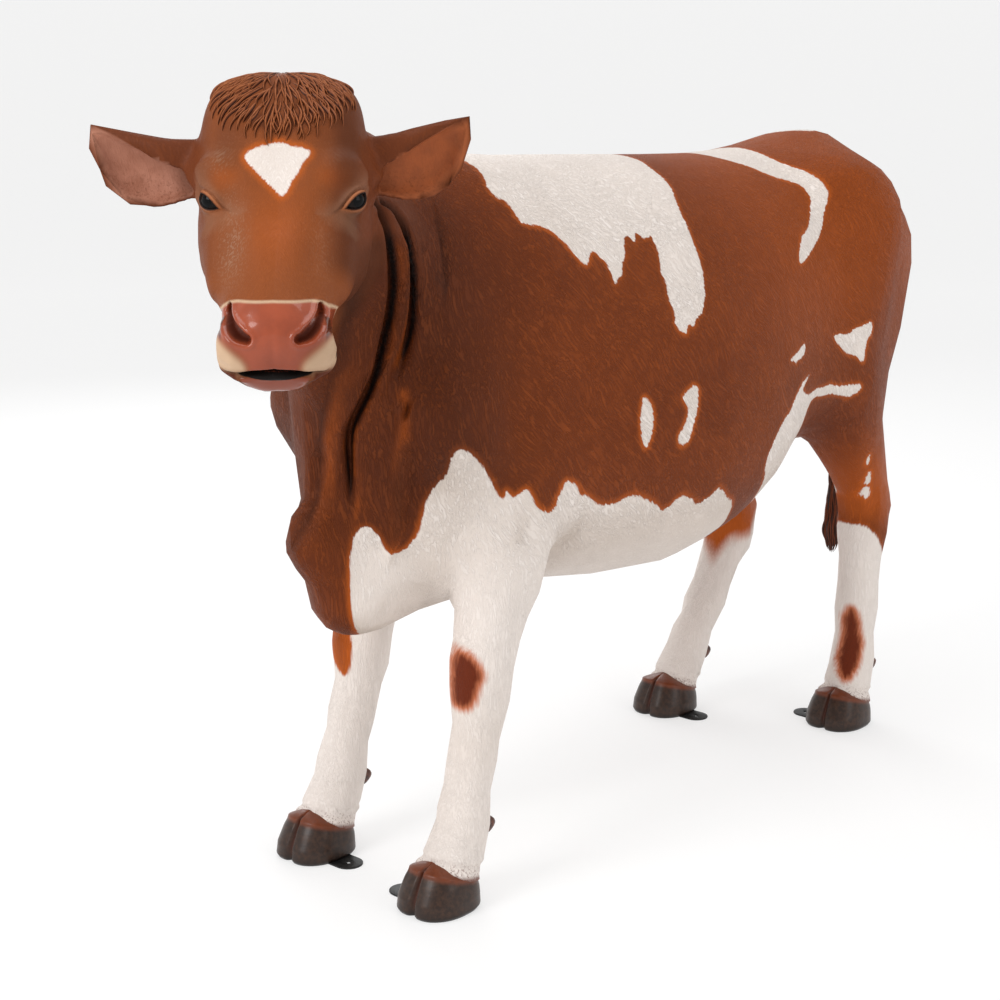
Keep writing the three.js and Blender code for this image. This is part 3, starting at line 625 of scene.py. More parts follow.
folds = {                        # path, half width, depth, and the shares where it fades in and out
    "neckFront": (((0.205, -0.700, 1.265), (0.172, -0.655, 1.238), (0.158, -0.634, 1.202),
                   (0.158, -0.622, 1.166), (0.152, -0.609, 1.125), (0.142, -0.600, 1.100),
                   (0.128, -0.592, 1.066), (0.115, -0.586, 1.032), (0.105, -0.588, 0.995),
                   (0.097, -0.594, 0.958), (0.085, -0.607, 0.912), (0.061, -0.617, 0.865),
                   (0.049, -0.614, 0.835), (0.040, -0.604, 0.776), (0.035, -0.598, 0.719),
                   (0.029, -0.603, 0.685)), 0.0066, 0.021, (0.0, 0.02, 0.80, 1.0)),
    "neckBack": (((0.200, -0.650, 1.262), (0.163, -0.605, 1.230), (0.150, -0.585, 1.195),
                  (0.155, -0.577, 1.165), (0.156, -0.571, 1.136), (0.145, -0.559, 1.089),
                  (0.136, -0.551, 1.055), (0.126, -0.545, 1.021), (0.119, -0.550, 0.988),
                  (0.112, -0.556, 0.955), (0.108, -0.566, 0.921)), 0.0062, 0.019,
                  (0.0, 0.02, 0.72, 1.0)),
    "neckLow": (((0.132, -0.551, 0.912), (0.134, -0.562, 0.883), (0.124, -0.564, 0.864)),
                0.0045, 0.009, (0.0, 0.4, 0.6, 1.0)),
    "neckFaint": (((0.107, -0.470, 1.226), (0.133, -0.487, 1.188), (0.155, -0.492, 1.129),
                   (0.159, -0.492, 1.068)),
                  0.008, 0.005, (0.0, 0.1, 0.6, 1.0)),
    "jawFold": (((0.145, -0.668, 1.130), (0.118, -0.668, 1.055), (0.085, -0.668, 0.985),
                 (0.063, -0.660, 0.913)),
                0.018, 0.006, (0.0, 0.3, 0.7, 1.0)),
    "dewlapEdge": (((0.072, -0.668, 0.960), (0.050, -0.655, 0.913), (0.010, -0.640, 0.842),
                    (-0.010, -0.635, 0.771), (-0.010, -0.642, 0.714), (-0.024, -0.660, 0.674),
                    (-0.038, -0.652, 0.620)), 0.012, 0.006, (0.0, 0.15, 0.8, 1.0)),
    "chestSide": (((0.150, -0.575, 0.842), (0.136, -0.562, 0.735), (0.116, -0.552, 0.652)),
                  0.014, 0.007, (0.0, 0.2, 0.8, 1.0)),
    "shoulder": (((0.203, -0.397, 0.960), (0.214, -0.385, 0.860), (0.219, -0.377, 0.774)),
                 0.030, 0.007, (0.0, 0.3, 0.7, 1.0)),
}
ridges = {
    "neckRidge": (((0.155, -0.594, 1.180), (0.155, -0.588, 1.137), (0.139, -0.573, 1.074),
                   (0.112, -0.559, 1.005), (0.102, -0.573, 0.947)), 0.011, 0.006,
                   (0.0, 0.1, 0.8, 1.0)),
    "chestRidge": (((0.123, -0.555, 0.914), (0.123, -0.563, 0.849), (0.110, -0.554, 0.805),
                    (0.099, -0.545, 0.766), (0.088, -0.540, 0.716), (0.076, -0.536, 0.666),
                    (0.057, -0.543, 0.585)), 0.010, 0.008, (0.0, 0.15, 0.85, 1.0)),
    "dewlapRidge": (((0.085, -0.672, 0.930), (0.050, -0.660, 0.860), (0.030, -0.650, 0.790),
                     (0.018, -0.655, 0.735), (0.005, -0.670, 0.705)), 0.011, 0.005,
                     (0.0, 0.15, 0.8, 1.0)),
}
deepFolds = {"neckFront": 1.6, "neckBack": 1.6, "neckLow": 0.6}       # and how dark their painted shade is
faintFolds = {"dewlapEdge": 0.45, "chestSide": 0.45, "jawFold": 0.45, "neckFaint": 0.45}
laidFolds = {}                   # each fold's path laid on the skin, before it is pressed in
intoNeck = np.array((-0.65, 0.72, -0.15))


def onSurface(piece, path):      # a smooth path laid on the piece's surface
    places = []
    for place in cutCorners(path, 2, closed=False):
        places.append(piece.closest_point_on_mesh(Vector(place))[1])
    return np.array(places)


def onNeck(places):
    return (places[:, 1] < -0.45) & (places[:, 2] > 0.5) & (places[:, 0] > -0.1)


def nearGrooves(skin, places, reach):
    near = np.zeros(len(places), bool)
    area = onNeck(places)
    for name in deepFolds:
        near[area] |= fromPath(places[area], onSurface(skin, folds[name][0]))[0] < reach
    return near


def fading(share, fades):
    return rise(share, fades[0], fades[1] + 1e-3) * (1 - rise(share, fades[2], fades[3]))


def foldLift(places, path, width, depth, fades):
    gap, share = fromPath(places, path)
    valley = -depth * bell(gap, width) + 0.24 * depth * bell(gap - 2.5 * width, 1.4 * width)
    return valley * fading(share, fades)


def clearOfEars(places):
    return 1 - earShare(places) * rise(places[:, 2], 1.222, 1.252)


def sculptFolds(skin):
    places, normals = placesOf(skin), normalsOf(skin)
    area = (places[:, 1] < -0.3) & (places[:, 2] > 0.45) & (places[:, 0] > -0.12)
    lift = np.zeros(len(places))
    for name, (path, width, depth, fades) in folds.items():
        laidFolds[name] = onSurface(skin, path)
        lift[area] += foldLift(places[area], laidFolds[name], width, depth, fades)
    for path, width, height, fades in ridges.values():
        lift[area] -= foldLift(places[area], onSurface(skin, path), width, height, fades)
    setPlaces(skin, places + normals * (lift * clearOfEars(places))[:, None])


# ---- hooves, and the skin's lip over them

hoofShape = {
    "half": (0.066, 0.069),
    "power": 2.5,
    "rows": (                    # height, size, how far back
        (0, 0.95, 0), (0.006, 1.01, 0), (0.026, 0.99, 0.001), (0.1, 0.74, 0.017)),
    "coronet": 0.064,            # height at the middle, falling toward the heel
    "fall": 0.26,
    "cleft": (0.009, 0.0042),    # depth and half width, in front
    "heel": (0.016, 0.009),
    "toes": (0.0035, 0.028, 0.022),              # bulge, its middle to either side, half width
    "waist": 0.0016,
    "wall": (0.20, 0.82),        # its ends, as shares of the way up the ball it is made from
    "crown": 0.012,              # of its top
    "sole": 0.0022,              # how far the sole's middle is off the ground
    "lip": 0.0016,               # the skin over the wall
    "wrinkle": (0.0014, 0.0065), # of the skin above it: height and spacing
}


def footOf(hoof):
    place = middle(hoof)
    return np.array((place.x, place.y, 0))


def nearFoot(rel, reach):
    return (np.abs(rel[:, 0]) < reach) & (np.abs(rel[:, 1]) < reach)


def overCoronet(rel):            # height over the sloping line between horn and skin
    return rel[:, 2] - hoofShape["coronet"] + hoofShape["fall"] * rel[:, 1]


def hoofReach(angle, z):         # the wall's radius at a height, and how far back its middle sits
    heights, sizes, backs = np.array(hoofShape["rows"]).T
    halfX, halfY = hoofShape["half"]
    power = hoofShape["power"]
    sides, ends = np.abs(np.cos(angle) / halfX) ** power, np.abs(np.sin(angle) / halfY) ** power
    radius = (sides + ends) ** (-1 / power)
    return radius * np.interp(z, heights, sizes), np.interp(z, heights, backs)


def makeHoof(node):
    foot = footOf(node)
    bpy.ops.mesh.primitive_uv_sphere_add(segments=224, ring_count=64, radius=1)
    hoof = bpy.context.object
    hoof.name = node.replace("_hoof", "Hoof")
    ball = placesOf(hoof)
    angle = np.arctan2(ball[:, 1], ball[:, 0])
    share = np.arccos(np.clip(-ball[:, 2], -1, 1)) / math.pi
    sole, top = hoofShape["wall"]
    wall = np.clip((share - sole) / (top - sole), 0, 1)
    z = np.zeros(len(ball))
    for _ in range(4):           # the top edge follows the sloping coronet
        radius, back = hoofReach(angle, z)
        y = radius * np.sin(angle) + back
        z = wall * (hoofShape["coronet"] - hoofShape["fall"] * y)
    x = radius * np.cos(angle)
    y = radius * np.sin(angle)
    depth, half = hoofShape["cleft"]
    front = depth * bell(x, half * (1.5 - 0.7 * wall)) * (y < 0)
    depth, half = hoofShape["heel"]
    behind = depth * bell(x, half) * (y > 0)
    bulge, aside, reach = hoofShape["toes"]
    toes = bulge * bell(np.abs(x) - aside, reach) * (y < 0) * (1 - wall)
    waist = -hoofShape["waist"] * bell(wall - 0.9, 0.12)
    shrink = 1 + (toes + waist - front - behind) / radius
    inward = np.where(share < sole, share / sole, np.where(share > top, (1 - share) / (1 - top), 1))
    soft = inward ** 0.8
    x, y = x * shrink * soft, y * shrink * soft
    z = z + hoofShape["crown"] * (1 - inward ** 2) * (share > top)
    z = z + hoofShape["sole"] * (1 - inward) * (share < sole)
    setPlaces(hoof, np.stack([x, y + back, z], axis=1) + foot)
    finish(hoof, "hoof_horn_paint", node)
    return hoof


def sculptFeet(skin):
    places = placesOf(skin)
    for node in feet:
        foot = footOf(node)
        rel = places - foot
        over = overCoronet(rel)
        area = (over < 0.020) & (np.abs(rel[:, 0]) < 0.09) & (np.abs(rel[:, 1]) < 0.1)
        angle = np.arctan2(rel[:, 1] - 0.008, rel[:, 0])
        radius, back = hoofReach(angle, np.clip(rel[:, 2], 0, 0.1))
        flat = np.hypot(rel[:, 0], rel[:, 1] - back)
        rim = rise(flat / radius, 0.55, 0.8)
        lip = (radius + hoofShape["lip"]) * rim + flat * (1 - rim)
        share = (1 - rise(over, 0.002, 0.020)) * area * rim
        notch = 0.006 * bell(rel[:, 0], 0.006) * (rel[:, 1] < 0) * bell(over, 0.02)
        reach = flat + (lip - flat) * share - notch * area
        scale = np.where(flat > 1e-6, reach / np.maximum(flat, 1e-6), 1)
        rel[:, 0] = np.where(area, rel[:, 0] * scale, rel[:, 0])
        rel[:, 1] = np.where(area, (rel[:, 1] - back) * scale + back, rel[:, 1])
        rel[:, 2] -= 0.0045 * (1 - rise(over, -0.002, 0.014)) * area
        height, spacing = hoofShape["wrinkle"]
        wrinkle = height * np.sin((over - 0.004) / spacing * 2)
        wrinkle = wrinkle * rise(over, 0.004, 0.012) * (1 - rise(over, 0.03, 0.05))
        near = (over < 0.06) & (np.abs(rel[:, 0]) < 0.09) & (np.abs(rel[:, 1]) < 0.1) & (over > 0)
        grow = 1 + wrinkle * near / 0.05
        rel[:, 0] *= grow
        rel[:, 1] = (rel[:, 1] - 0.02) * grow + 0.02
        places = rel + foot
    setPlaces(skin, places)


# ---- colours and patterns shared by the paints

def tint(*shades):               # red, green and blue from 0 to 255, as a screen shows them
    return (*(((c / 255 + 0.055) / 1.055) ** 2.4 if c > 10 else c / 255 / 12.92 for c in shades), 1)


class Value:                     # a shader value that can be added, scaled and eased
    def __init__(self, paint, socket):
        self.paint = paint
        self.socket = socket

    def __add__(self, other):
        return self.paint.maths("ADD", self, other)

    def __radd__(self, other):
        return self.paint.maths("ADD", other, self)

    def __sub__(self, other):
        return self.paint.maths("SUBTRACT", self, other)

    def __rsub__(self, other):
        return self.paint.maths("SUBTRACT", other, self)

    def __mul__(self, other):
        return self.paint.maths("MULTIPLY", self, other)

    def __rmul__(self, other):
        return self.paint.maths("MULTIPLY", other, self)

    def __abs__(self):
        return self.paint.maths("ABSOLUTE", self)

    def rise(self, low, high):
        return self.paint.node("ShaderNodeMapRange", {"interpolation_type": "SMOOTHSTEP"},
                               {"Value": self, "From Min": low, "From Max": high})


class Paint:
    def __init__(self, name):
        self.material = bpy.data.materials.new(name)
        self.material.use_nodes = True
        self.tree = self.material.node_tree
        self.shader = self.tree.nodes["Principled BSDF"]

    def put(self, socket, value):
        if isinstance(value, Value):
            self.tree.links.new(value.socket, socket)
        else:
            socket.default_value = value

    def node(self, kind, settings, inputs, output=0):
        made = self.tree.nodes.new(kind)
        for name, value in settings.items():
            setattr(made, name, value)
        for name, value in inputs.items():
            self.put(made.inputs[name], value)
        return Value(self, made.outputs[output])

    def maths(self, operation, *values):
        return self.node("ShaderNodeMath", {"operation": operation}, dict(enumerate(values)))

    def place(self):
        return self.node("ShaderNodeTexCoord", {}, {}, "Object")

    def value(self, name):
        return self.node("ShaderNodeAttribute", {"attribute_name": name}, {}, "Fac")

    def dot(self, place, direction):
        return self.node("ShaderNodeVectorMath", {"operation": "DOT_PRODUCT"},
                         {0: place, 1: tuple(direction)}, "Value")

    def noise(self, place, scale, detail=2.0, roughness=0.5):
        return self.node("ShaderNodeTexNoise", {},
                         {"Vector": place, "Scale": scale, "Detail": detail, "Roughness": roughness})

    def combed(self, place, run, wide, long, detail=2.0, roughness=0.6):     # hair that runs one way
        turn = Vector(run).to_track_quat("Z", "Y").to_euler()
        laid = self.node("ShaderNodeMapping", {"vector_type": "TEXTURE"},
                         {"Vector": place, "Rotation": turn, "Scale": (wide, wide, long)})
        return self.noise(laid, 1.0, detail, roughness)

    def mix(self, share, first, second, blend="MIX"):
        return self.node("ShaderNodeMix", {"data_type": "RGBA", "blend_type": blend},
                         {0: share, 6: first, 7: second}, 2)

    def layers(self, colour, *layers):       # each a share and the colour it brings
        for share, brought in layers:
            colour = self.mix(share, colour, brought)
        return colour

    def surface(self, **values):
        for name, value in values.items():
            self.put(self.shader.inputs[name.replace("_", " ")], value)

    def relief(self, height, distance, strength):
        normal = self.node("ShaderNodeBump", {},
                           {"Height": height, "Distance": distance, "Strength": strength})
        self.put(self.shader.inputs["Normal"], normal)


def finish(piece, slot, *nodes):
    choose(piece)
    bpy.ops.object.shade_smooth()
    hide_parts(*nodes)
    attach(piece, "root")


def dress(piece, paint):
    piece.data.materials.clear()
    piece.data.materials.append(paint.material)


# ---- markings

girth = 0.33                     # the trunk is unrolled as if this were its radius
trunkZ = 0.95
underneath = -girth * math.pi / 2

patches = {                      # along the trunk, and round it from the left side up over the back
    "saddle": ((-0.345, 0.433), (-0.337, 0.401), (-0.350, 0.365), (-0.340, 0.347), (-0.320, 0.337),
               (-0.315, 0.301), (-0.308, 0.289), (-0.251, 0.274), (-0.199, 0.181), (-0.184, 0.210),
               (-0.173, 0.217), (-0.164, 0.213), (-0.157, 0.200), (-0.149, 0.199), (-0.143, 0.187),
               (-0.137, 0.137), (-0.129, 0.157), (-0.117, 0.155), (-0.106, 0.189), (-0.095, 0.191),
               (-0.083, 0.234), (-0.067, 0.238), (-0.057, 0.218), (-0.052, 0.236), (-0.046, 0.239),
               (-0.029, 0.223), (-0.015, 0.229), (-0.011, 0.226), (-0.008, 0.198), (-0.020, 0.149),
               (-0.012, 0.123), (-0.018, 0.102), (-0.007, 0.063), (-0.012, 0.039), (0.013, 0.016),
               (0.019, 0.037), (0.027, 0.038), (0.034, 0.031), (0.045, 0.051), (0.063, 0.055),
               (0.089, 0.116), (0.095, 0.240), (0.101, 0.288), (0.124, 0.330), (0.128, 0.356),
               (0.133, 0.404), (0.152, 0.450), (0.158, 0.508), (0.150, 0.570), (0.124, 0.640),
               (0.115, 0.700), (0.128, 0.745), (0.112, 0.790), (0.100, 0.752), (0.070, 0.765),
               (0.050, 0.830), (0.035, 0.850), (0.020, 0.790), (-0.010, 0.760), (-0.030, 0.800),
               (-0.055, 0.905), (-0.070, 0.930), (-0.085, 0.880), (-0.110, 0.820), (-0.150, 0.790),
               (-0.165, 0.830), (-0.185, 0.780), (-0.240, 0.730), (-0.300, 0.660), (-0.330, 0.600),
               (-0.365, 0.540), (-0.360, 0.480)),
    "hip": ((0.556, 0.454), (0.561, 0.398), (0.600, 0.345), (0.609, 0.302), (0.615, 0.282),
            (0.592, 0.254), (0.564, 0.207), (0.491, 0.157), (0.436, 0.127), (0.435, 0.149),
            (0.466, 0.188), (0.477, 0.199), (0.512, 0.216), (0.532, 0.235), (0.568, 0.288),
            (0.564, 0.305), (0.560, 0.323), (0.545, 0.336), (0.481, 0.362), (0.457, 0.392),
            (0.420, 0.425), (0.410, 0.476), (0.401, 0.513), (0.380, 0.570), (0.352, 0.640),
            (0.360, 0.690), (0.410, 0.740), (0.440, 0.800), (0.462, 0.770), (0.450, 0.700),
            (0.480, 0.640), (0.530, 0.580), (0.560, 0.520)),
    "rump": ((0.735, 0.560), (0.765, 0.512), (0.800, 0.485), (0.830, 0.495), (0.815, 0.530),
             (0.780, 0.560)),
    "thigh": ((0.694, -0.034), (0.691, -0.060), (0.670, -0.076), (0.659, -0.097), (0.654, -0.121),
              (0.646, -0.122), (0.627, -0.108), (0.604, -0.103), (0.584, -0.093), (0.546, -0.058),
              (0.570, -0.054), (0.615, -0.060), (0.631, -0.047), (0.669, -0.043)),
    "flank": ((0.404, -0.045), (0.407, -0.062), (0.397, -0.070), (0.384, -0.074), (0.371, -0.074),
              (0.364, -0.080), (0.356, -0.074), (0.337, -0.071), (0.341, -0.066), (0.368, -0.060)),
    "sideFront": ((-0.105, -0.090), (-0.096, -0.093), (-0.080, -0.114), (-0.080, -0.145),
                  (-0.087, -0.167), (-0.098, -0.179), (-0.107, -0.161), (-0.111, -0.132)),
    "sideBack": ((0.019, -0.079), (0.027, -0.080), (0.034, -0.086), (0.030, -0.127),
                 (0.018, -0.146), (0.012, -0.169), (0.000, -0.176), (-0.008, -0.176),
                 (-0.016, -0.171), (-0.017, -0.161), (-0.005, -0.150), (0.007, -0.129),
                 (0.007, -0.116), (-0.006, -0.101), (-0.005, -0.094)),
    "udder": ((0.438, -0.114), (0.410, -0.130), (0.397, -0.137), (0.424, -0.156), (0.449, -0.161),
              (0.490, -0.157), (0.511, -0.163), (0.541, -0.159), (0.564, -0.170), (0.615, -0.170),
              (0.645, -0.168), (0.653, -0.178), (0.627, -0.193), (0.612, -0.197), (0.551, -0.181),
              (0.520, -0.185), (0.480, -0.176), (0.455, -0.190), (0.440, -0.230), (0.430, -0.290),
              (0.425, -0.380), (0.430, -0.518), (0.350, -0.518), (0.345, -0.420), (0.325, -0.320),
              (0.290, -0.258), (0.264, -0.232), (0.287, -0.197), (0.324, -0.172), (0.346, -0.166),
              (0.365, -0.145), (0.396, -0.124)),
    "rightSide": ((-0.060, 1.125), (-0.038, 1.118), (-0.020, 1.140), (-0.028, 1.180),
                  (-0.010, 1.205), (-0.022, 1.232), (-0.046, 1.222), (-0.052, 1.180),
                  (-0.070, 1.150)),
    "rightFlank": ((0.330, 0.990), (0.356, 0.975), (0.388, 1.000), (0.402, 1.046), (0.380, 1.080),
                   (0.352, 1.060), (0.344, 1.020)),
    "rightThigh": ((0.560, 1.120), (0.610, 1.096), (0.660, 1.110), (0.690, 1.090), (0.672, 1.150),
                   (0.640, 1.186), (0.600, 1.170), (0.572, 1.150)),
}
belly = ((-0.420, -0.230), (-0.370, -0.262), (-0.326, -0.263), (-0.302, -0.258), (-0.278, -0.229),
         (-0.271, -0.226), (-0.244, -0.247), (-0.223, -0.249), (-0.183, -0.267), (-0.150, -0.267),
         (-0.128, -0.256), (-0.100, -0.250), (-0.046, -0.264), (-0.031, -0.275), (-0.012, -0.275),
         (0.010, -0.253), (0.033, -0.254), (0.062, -0.269), (0.075, -0.268), (0.099, -0.258),
         (0.113, -0.246), (0.122, -0.248), (0.161, -0.271), (0.192, -0.280), (0.225, -0.330),
         (0.240, -0.420), (0.235, -0.530), (0.245, -0.640), (0.232, -0.720), (0.190, -0.755),
         (0.160, -0.770), (0.138, -0.800), (0.120, -0.775), (0.070, -0.765), (0.045, -0.790),
         (0.020, -0.770), (-0.040, -0.768), (-0.070, -0.800), (-0.098, -0.812), (-0.120, -0.776),
         (-0.170, -0.770), (-0.205, -0.800), (-0.240, -0.775), (-0.300, -0.765), (-0.340, -0.800),
         (-0.400, -0.780))
frontLeft = ((-0.350, 0.0), (-0.352, 0.440), (-0.369, 0.482), (-0.374, 0.499), (-0.380, 0.558),
             (-0.376, 0.657), (-0.362, 0.681), (-0.347, 0.683), (-0.334, 0.669), (-0.317, 0.633),
             (-0.299, 0.630), (-0.280, 0.641), (-0.261, 0.670), (-0.252, 0.718), (-0.243, 0.739),
             (-0.234, 0.755), (-0.214, 0.774), (-0.202, 0.815), (-0.195, 0.824), (-0.184, 0.823),
             (-0.164, 0.805), (-0.146, 0.773), (-0.131, 0.736), (-0.121, 0.724), (-0.106, 0.720),
             (-0.082, 0.740), (-0.075, 0.733), (-0.063, 0.705), (-0.049, 0.692), (-0.038, 0.689),
             (-0.031, 0.693), (-0.014, 0.737), (-0.008, 0.740), (0.014, 0.724), (0.020, 0.650),
             (0.020, 0.0))
frontRight = ((-0.350, 0.0), (-0.350, 0.560), (-0.398, 0.540), (-0.399, 0.417), (-0.400, 0.370),
              (-0.405, 0.338), (-0.413, 0.328), (-0.423, 0.330), (-0.438, 0.350), (-0.455, 0.400),
              (-0.480, 0.372), (-0.500, 0.420), (-0.530, 0.380), (-0.620, 0.400), (-0.620, 0.0))
hindLeft = ((0.640, 0.0), (0.640, 0.400), (0.720, 0.452), (0.760, 0.430), (0.790, 0.462),
            (0.813, 0.441), (0.842, 0.405), (0.860, 0.380), (0.920, 0.400), (0.920, 0.0))
specks = (((0.786, 0.548), (0.776, 0.546), (0.780, 0.532), (0.790, 0.518), (0.798, 0.520),
           (0.797, 0.535)),
          ((0.768, 0.585), (0.774, 0.584), (0.784, 0.559), (0.782, 0.552), (0.774, 0.555),
           (0.768, 0.572)),
          ((0.748, 0.625), (0.754, 0.624), (0.758, 0.606), (0.754, 0.600), (0.748, 0.610)))
knee = ((-0.203, 0.450), (-0.195, 0.454), (-0.174, 0.449), (-0.155, 0.422), (-0.155, 0.406),
        (-0.161, 0.399), (-0.168, 0.369), (-0.180, 0.353), (-0.189, 0.350), (-0.209, 0.351),
        (-0.212, 0.388), (-0.210, 0.428))
cannon = ((0.649, 0.270), (0.662, 0.262), (0.670, 0.240), (0.674, 0.210), (0.681, 0.185),
          (0.678, 0.171), (0.676, 0.155), (0.667, 0.125), (0.649, 0.105), (0.638, 0.103),
          (0.629, 0.118), (0.626, 0.165), (0.624, 0.190), (0.634, 0.235))
diamond = ((-0.002, 0.131), (0.012, 0.133), (0.017, 0.137), (0.034, 0.138), (0.046, 0.143),
           (0.046, 0.149), (0.035, 0.160), (0.029, 0.177), (0.020, 0.187), (0.013, 0.205),
           (0.006, 0.213), (0.002, 0.211), (-0.006, 0.201), (-0.025, 0.183), (-0.046, 0.160),
           (-0.050, 0.151), (-0.045, 0.143), (-0.023, 0.135))
nosePad = ((0, 0.3004), (0.030, 0.3015), (0.058, 0.3020), (0.070, 0.3070), (0.082, 0.318),
           (0.090, 0.330), (0.0900, 0.342), (0.0740, 0.356), (0.0560, 0.368), (0.0420, 0.380),
           (0.0370, 0.396), (0.0370, 0.406))
lipLobe = ((0.0780, 0.345), (0.0930, 0.342), (0.1000, 0.356), (0.0980, 0.380), (0.0860, 0.396),
           (0.0640, 0.401), (0.0400, 0.398), (0.0400, 0.386), (0.0540, 0.372), (0.0680, 0.360))


def trim(gap, *limits):          # an outline's inside, kept where every limit is above 0
    for limit in limits:
        gap = np.minimum(gap, limit)
    return gap


slantView = (0.741, 0.671)       # the level direction across the flat view of the legs


def slantOf(places):             # the flat view, and how deep in it each place lies
    x, y, z = places.T
    flat = np.stack([slantView[0] * x + slantView[1] * y, z], axis=1)
    return flat, -slantView[1] * x + slantView[0] * y


def fromUdder(places, size):
    return np.linalg.norm((places - np.array(middle("udder"))) * size, axis=1)


def markings(places):            # how far inside the white, and inside the rust spots
    x, y, z = places.T
    h = inHead(places)
    head = headShare(places)
    turn = girth * np.arctan2(z - trunkZ, x - midX)
    whole = girth * 2 * math.pi
    low = np.stack([y, np.where(turn > -underneath, turn - whole, turn)], axis=1)
    high = np.stack([y, np.where(turn < underneath, turn + whole, turn)], axis=1)
    slant, deep = slantOf(places)
    side = np.stack([y, z], axis=1)
    hock = 0.352 - z + 0.6 * (y - 0.77) + 0.012 * np.sin(x * 70 + y * 40)

    whites = [trim(within(high, outline), (z - 0.55) * 2, 0.5 - head)
              for outline in patches.values()]
    whites += [trim(within(side, outline), x - midX) for outline in (hindLeft, *specks)]
    whites += [
        trim(within(low, belly), 1.0 - z),
        0.115 - fromUdder(places, (0.9, 0.62, 1.15)),
        trim(within(slant, frontLeft), x + 0.020, -0.20 - y),
        trim(within(slant, frontRight), -0.020 - x, -0.20 - y, 0.56 - z),
        trim(hock, midX - x, y - 0.30),
        trim(within(h[:, :2], diamond), h[:, 2] + 0.05),
    ]
    rusts = []
    for outline, hoof, behind in ((knee, "fore_left_hoof", 0.075),
                                  (cannon, "hind_left_hoof", 0.012)):
        _, footDeep = slantOf(footOf(hoof)[None])
        rusts.append(trim(within(slant, outline), footDeep + behind - deep, x - midX))
    return most(np.full(len(places), -farOut), *whites), most(*rusts)


# ---- what the paint reads at each point of the skin, each from 0 to 1 or a distance

facePatches = {                  # on both sides: centre across and along the head, reach, strength
    "hollowSheen": (((0.064, 0.292), (0.020, 0.062), 1.0), ((0.088, 0.150), (0.020, 0.024), 0.8),
               ((0.070, 0.222), (0.014, 0.030), 0.5)),
    "bridge": (((0, 0.27), (0.045, 0.07), 1.0),),
    "brow": (((0.080, 0.180), (0.022, 0.016), 1.0),),
    "faceSideShade": (((0.078, 0.120), (0.034, 0.046), 0.55),),
}


def facePatch(name, h):
    return most(*[strength * dab(np.abs(h[:, 0]), h[:, 1], centre, reach)
                  for centre, reach, strength in facePatches[name]])


def markCoat(places, normals):
    x, y, z = places.T
    h = inHead(places)
    head, ears = headShare(places), earShare(places)
    left, right, hind, foreRight = x > midX, x < midX, y > 0.3, (x < -0.02) * (y < -0.2)
    white, rust = markings(places)
    slant, _ = slantOf(places)
    soft = most(right * hind * (z < 0.60), 0.55 * left * hind * (z > 0.38) * (z < 0.50),
                0.6 * foreRight * (z < 0.56))
    warm = most(right * hind * rise(z, 0.27, 0.38) * (1 - rise(z, 0.43, 0.60)),
                0.7 * left * (y > 0.5) * rise(z, 0.44, 0.50) * (1 - rise(z, 0.56, 0.72)),
                0.8 * foreRight * (z < 0.5) * bell(within(slant, frontRight), 0.03))
    shade = bell(y + 0.54, 0.17) * rise(z, 0.52, 0.75) * (1 - rise(z, 1.18, 1.32))
    legs = legShare(places) * (1 - head)
    # painted shade on the skin under the carved locks, darker toward the locks' tips
    fromFringe = np.interp(h[:, 0], *np.array(pollLocks["fringe"]).T) - h[:, 1]
    poll = pollShare(places) * rise(fromFringe, -0.002, 0.008)
    return {
        "white": white, "rust": most(rust, -farOut), "soft": soft, "warm": warm,
        "shade": shade * (1 - 0.6 * head),
        # how far each place faces down, for the painted shade on the underside
        "under": rise(-normals[:, 2], 0.05, 0.85),
        "udder": 1 - rise(fromUdder(places, (0.9, 0.62, 1.0)), 0.08, 0.15),
        "legs": legs,
        "neck": rise(-y, 0.34, 0.50) * (1 - legs) * (1 - head),
        "face": rise(head, 0.4, 0.9) * (1 - ears),
        "poll": poll,
        "lockTipShade": poll * (1 - rise(fromFringe, 0.014, 0.050)),
    }


def markFolds(skin, places):
    area = onNeck(places)
    near = places[area]
    darks, lights = [], []
    # painted shade: the deep folds are painted nearly black in their depth, the faint ones in darker
    # lines
    for name, strength in deepFolds.items():
        _, width, depth, fades = folds[name]
        gap, share = fromPath(near, laidFolds[name])
        deeper, _ = fromPath(near, laidFolds[name] + intoNeck * depth * 0.55)
        darks.append(strength * bell(np.minimum(gap, deeper), width * 0.95) * fading(share, fades))
    for name, strength in faintFolds.items():
        path, width, _, fades = folds[name]
        gap, share = fromPath(near, onSurface(skin, path))
        darks.append(strength * bell(gap, width) * rise(share, fades[0], fades[1] + 1e-3))
    # painted highlight along the ridges, and along the edge beside the front fold
    for path, width, _, _ in ridges.values():
        gap, share = fromPath(near, onSurface(skin, path))
        lights.append(bell(gap, width * 0.9) * (1 - rise(share, 0.85, 1)))
    besideFront = onSurface(skin, folds["neckFront"][0]) + np.array((0.012, 0.006, 0))
    gap, _ = fromPath(near, besideFront)
    lights.append(0.8 * bell(gap, 0.005))
    creaseShade, ridgeHighlight = np.zeros(len(places)), np.zeros(len(places))
    creaseShade[area], ridgeHighlight[area] = most(*darks), most(*lights)
    return {"creaseShade": creaseShade * clearOfEars(places), "ridgeHighlight": ridgeHighlight}


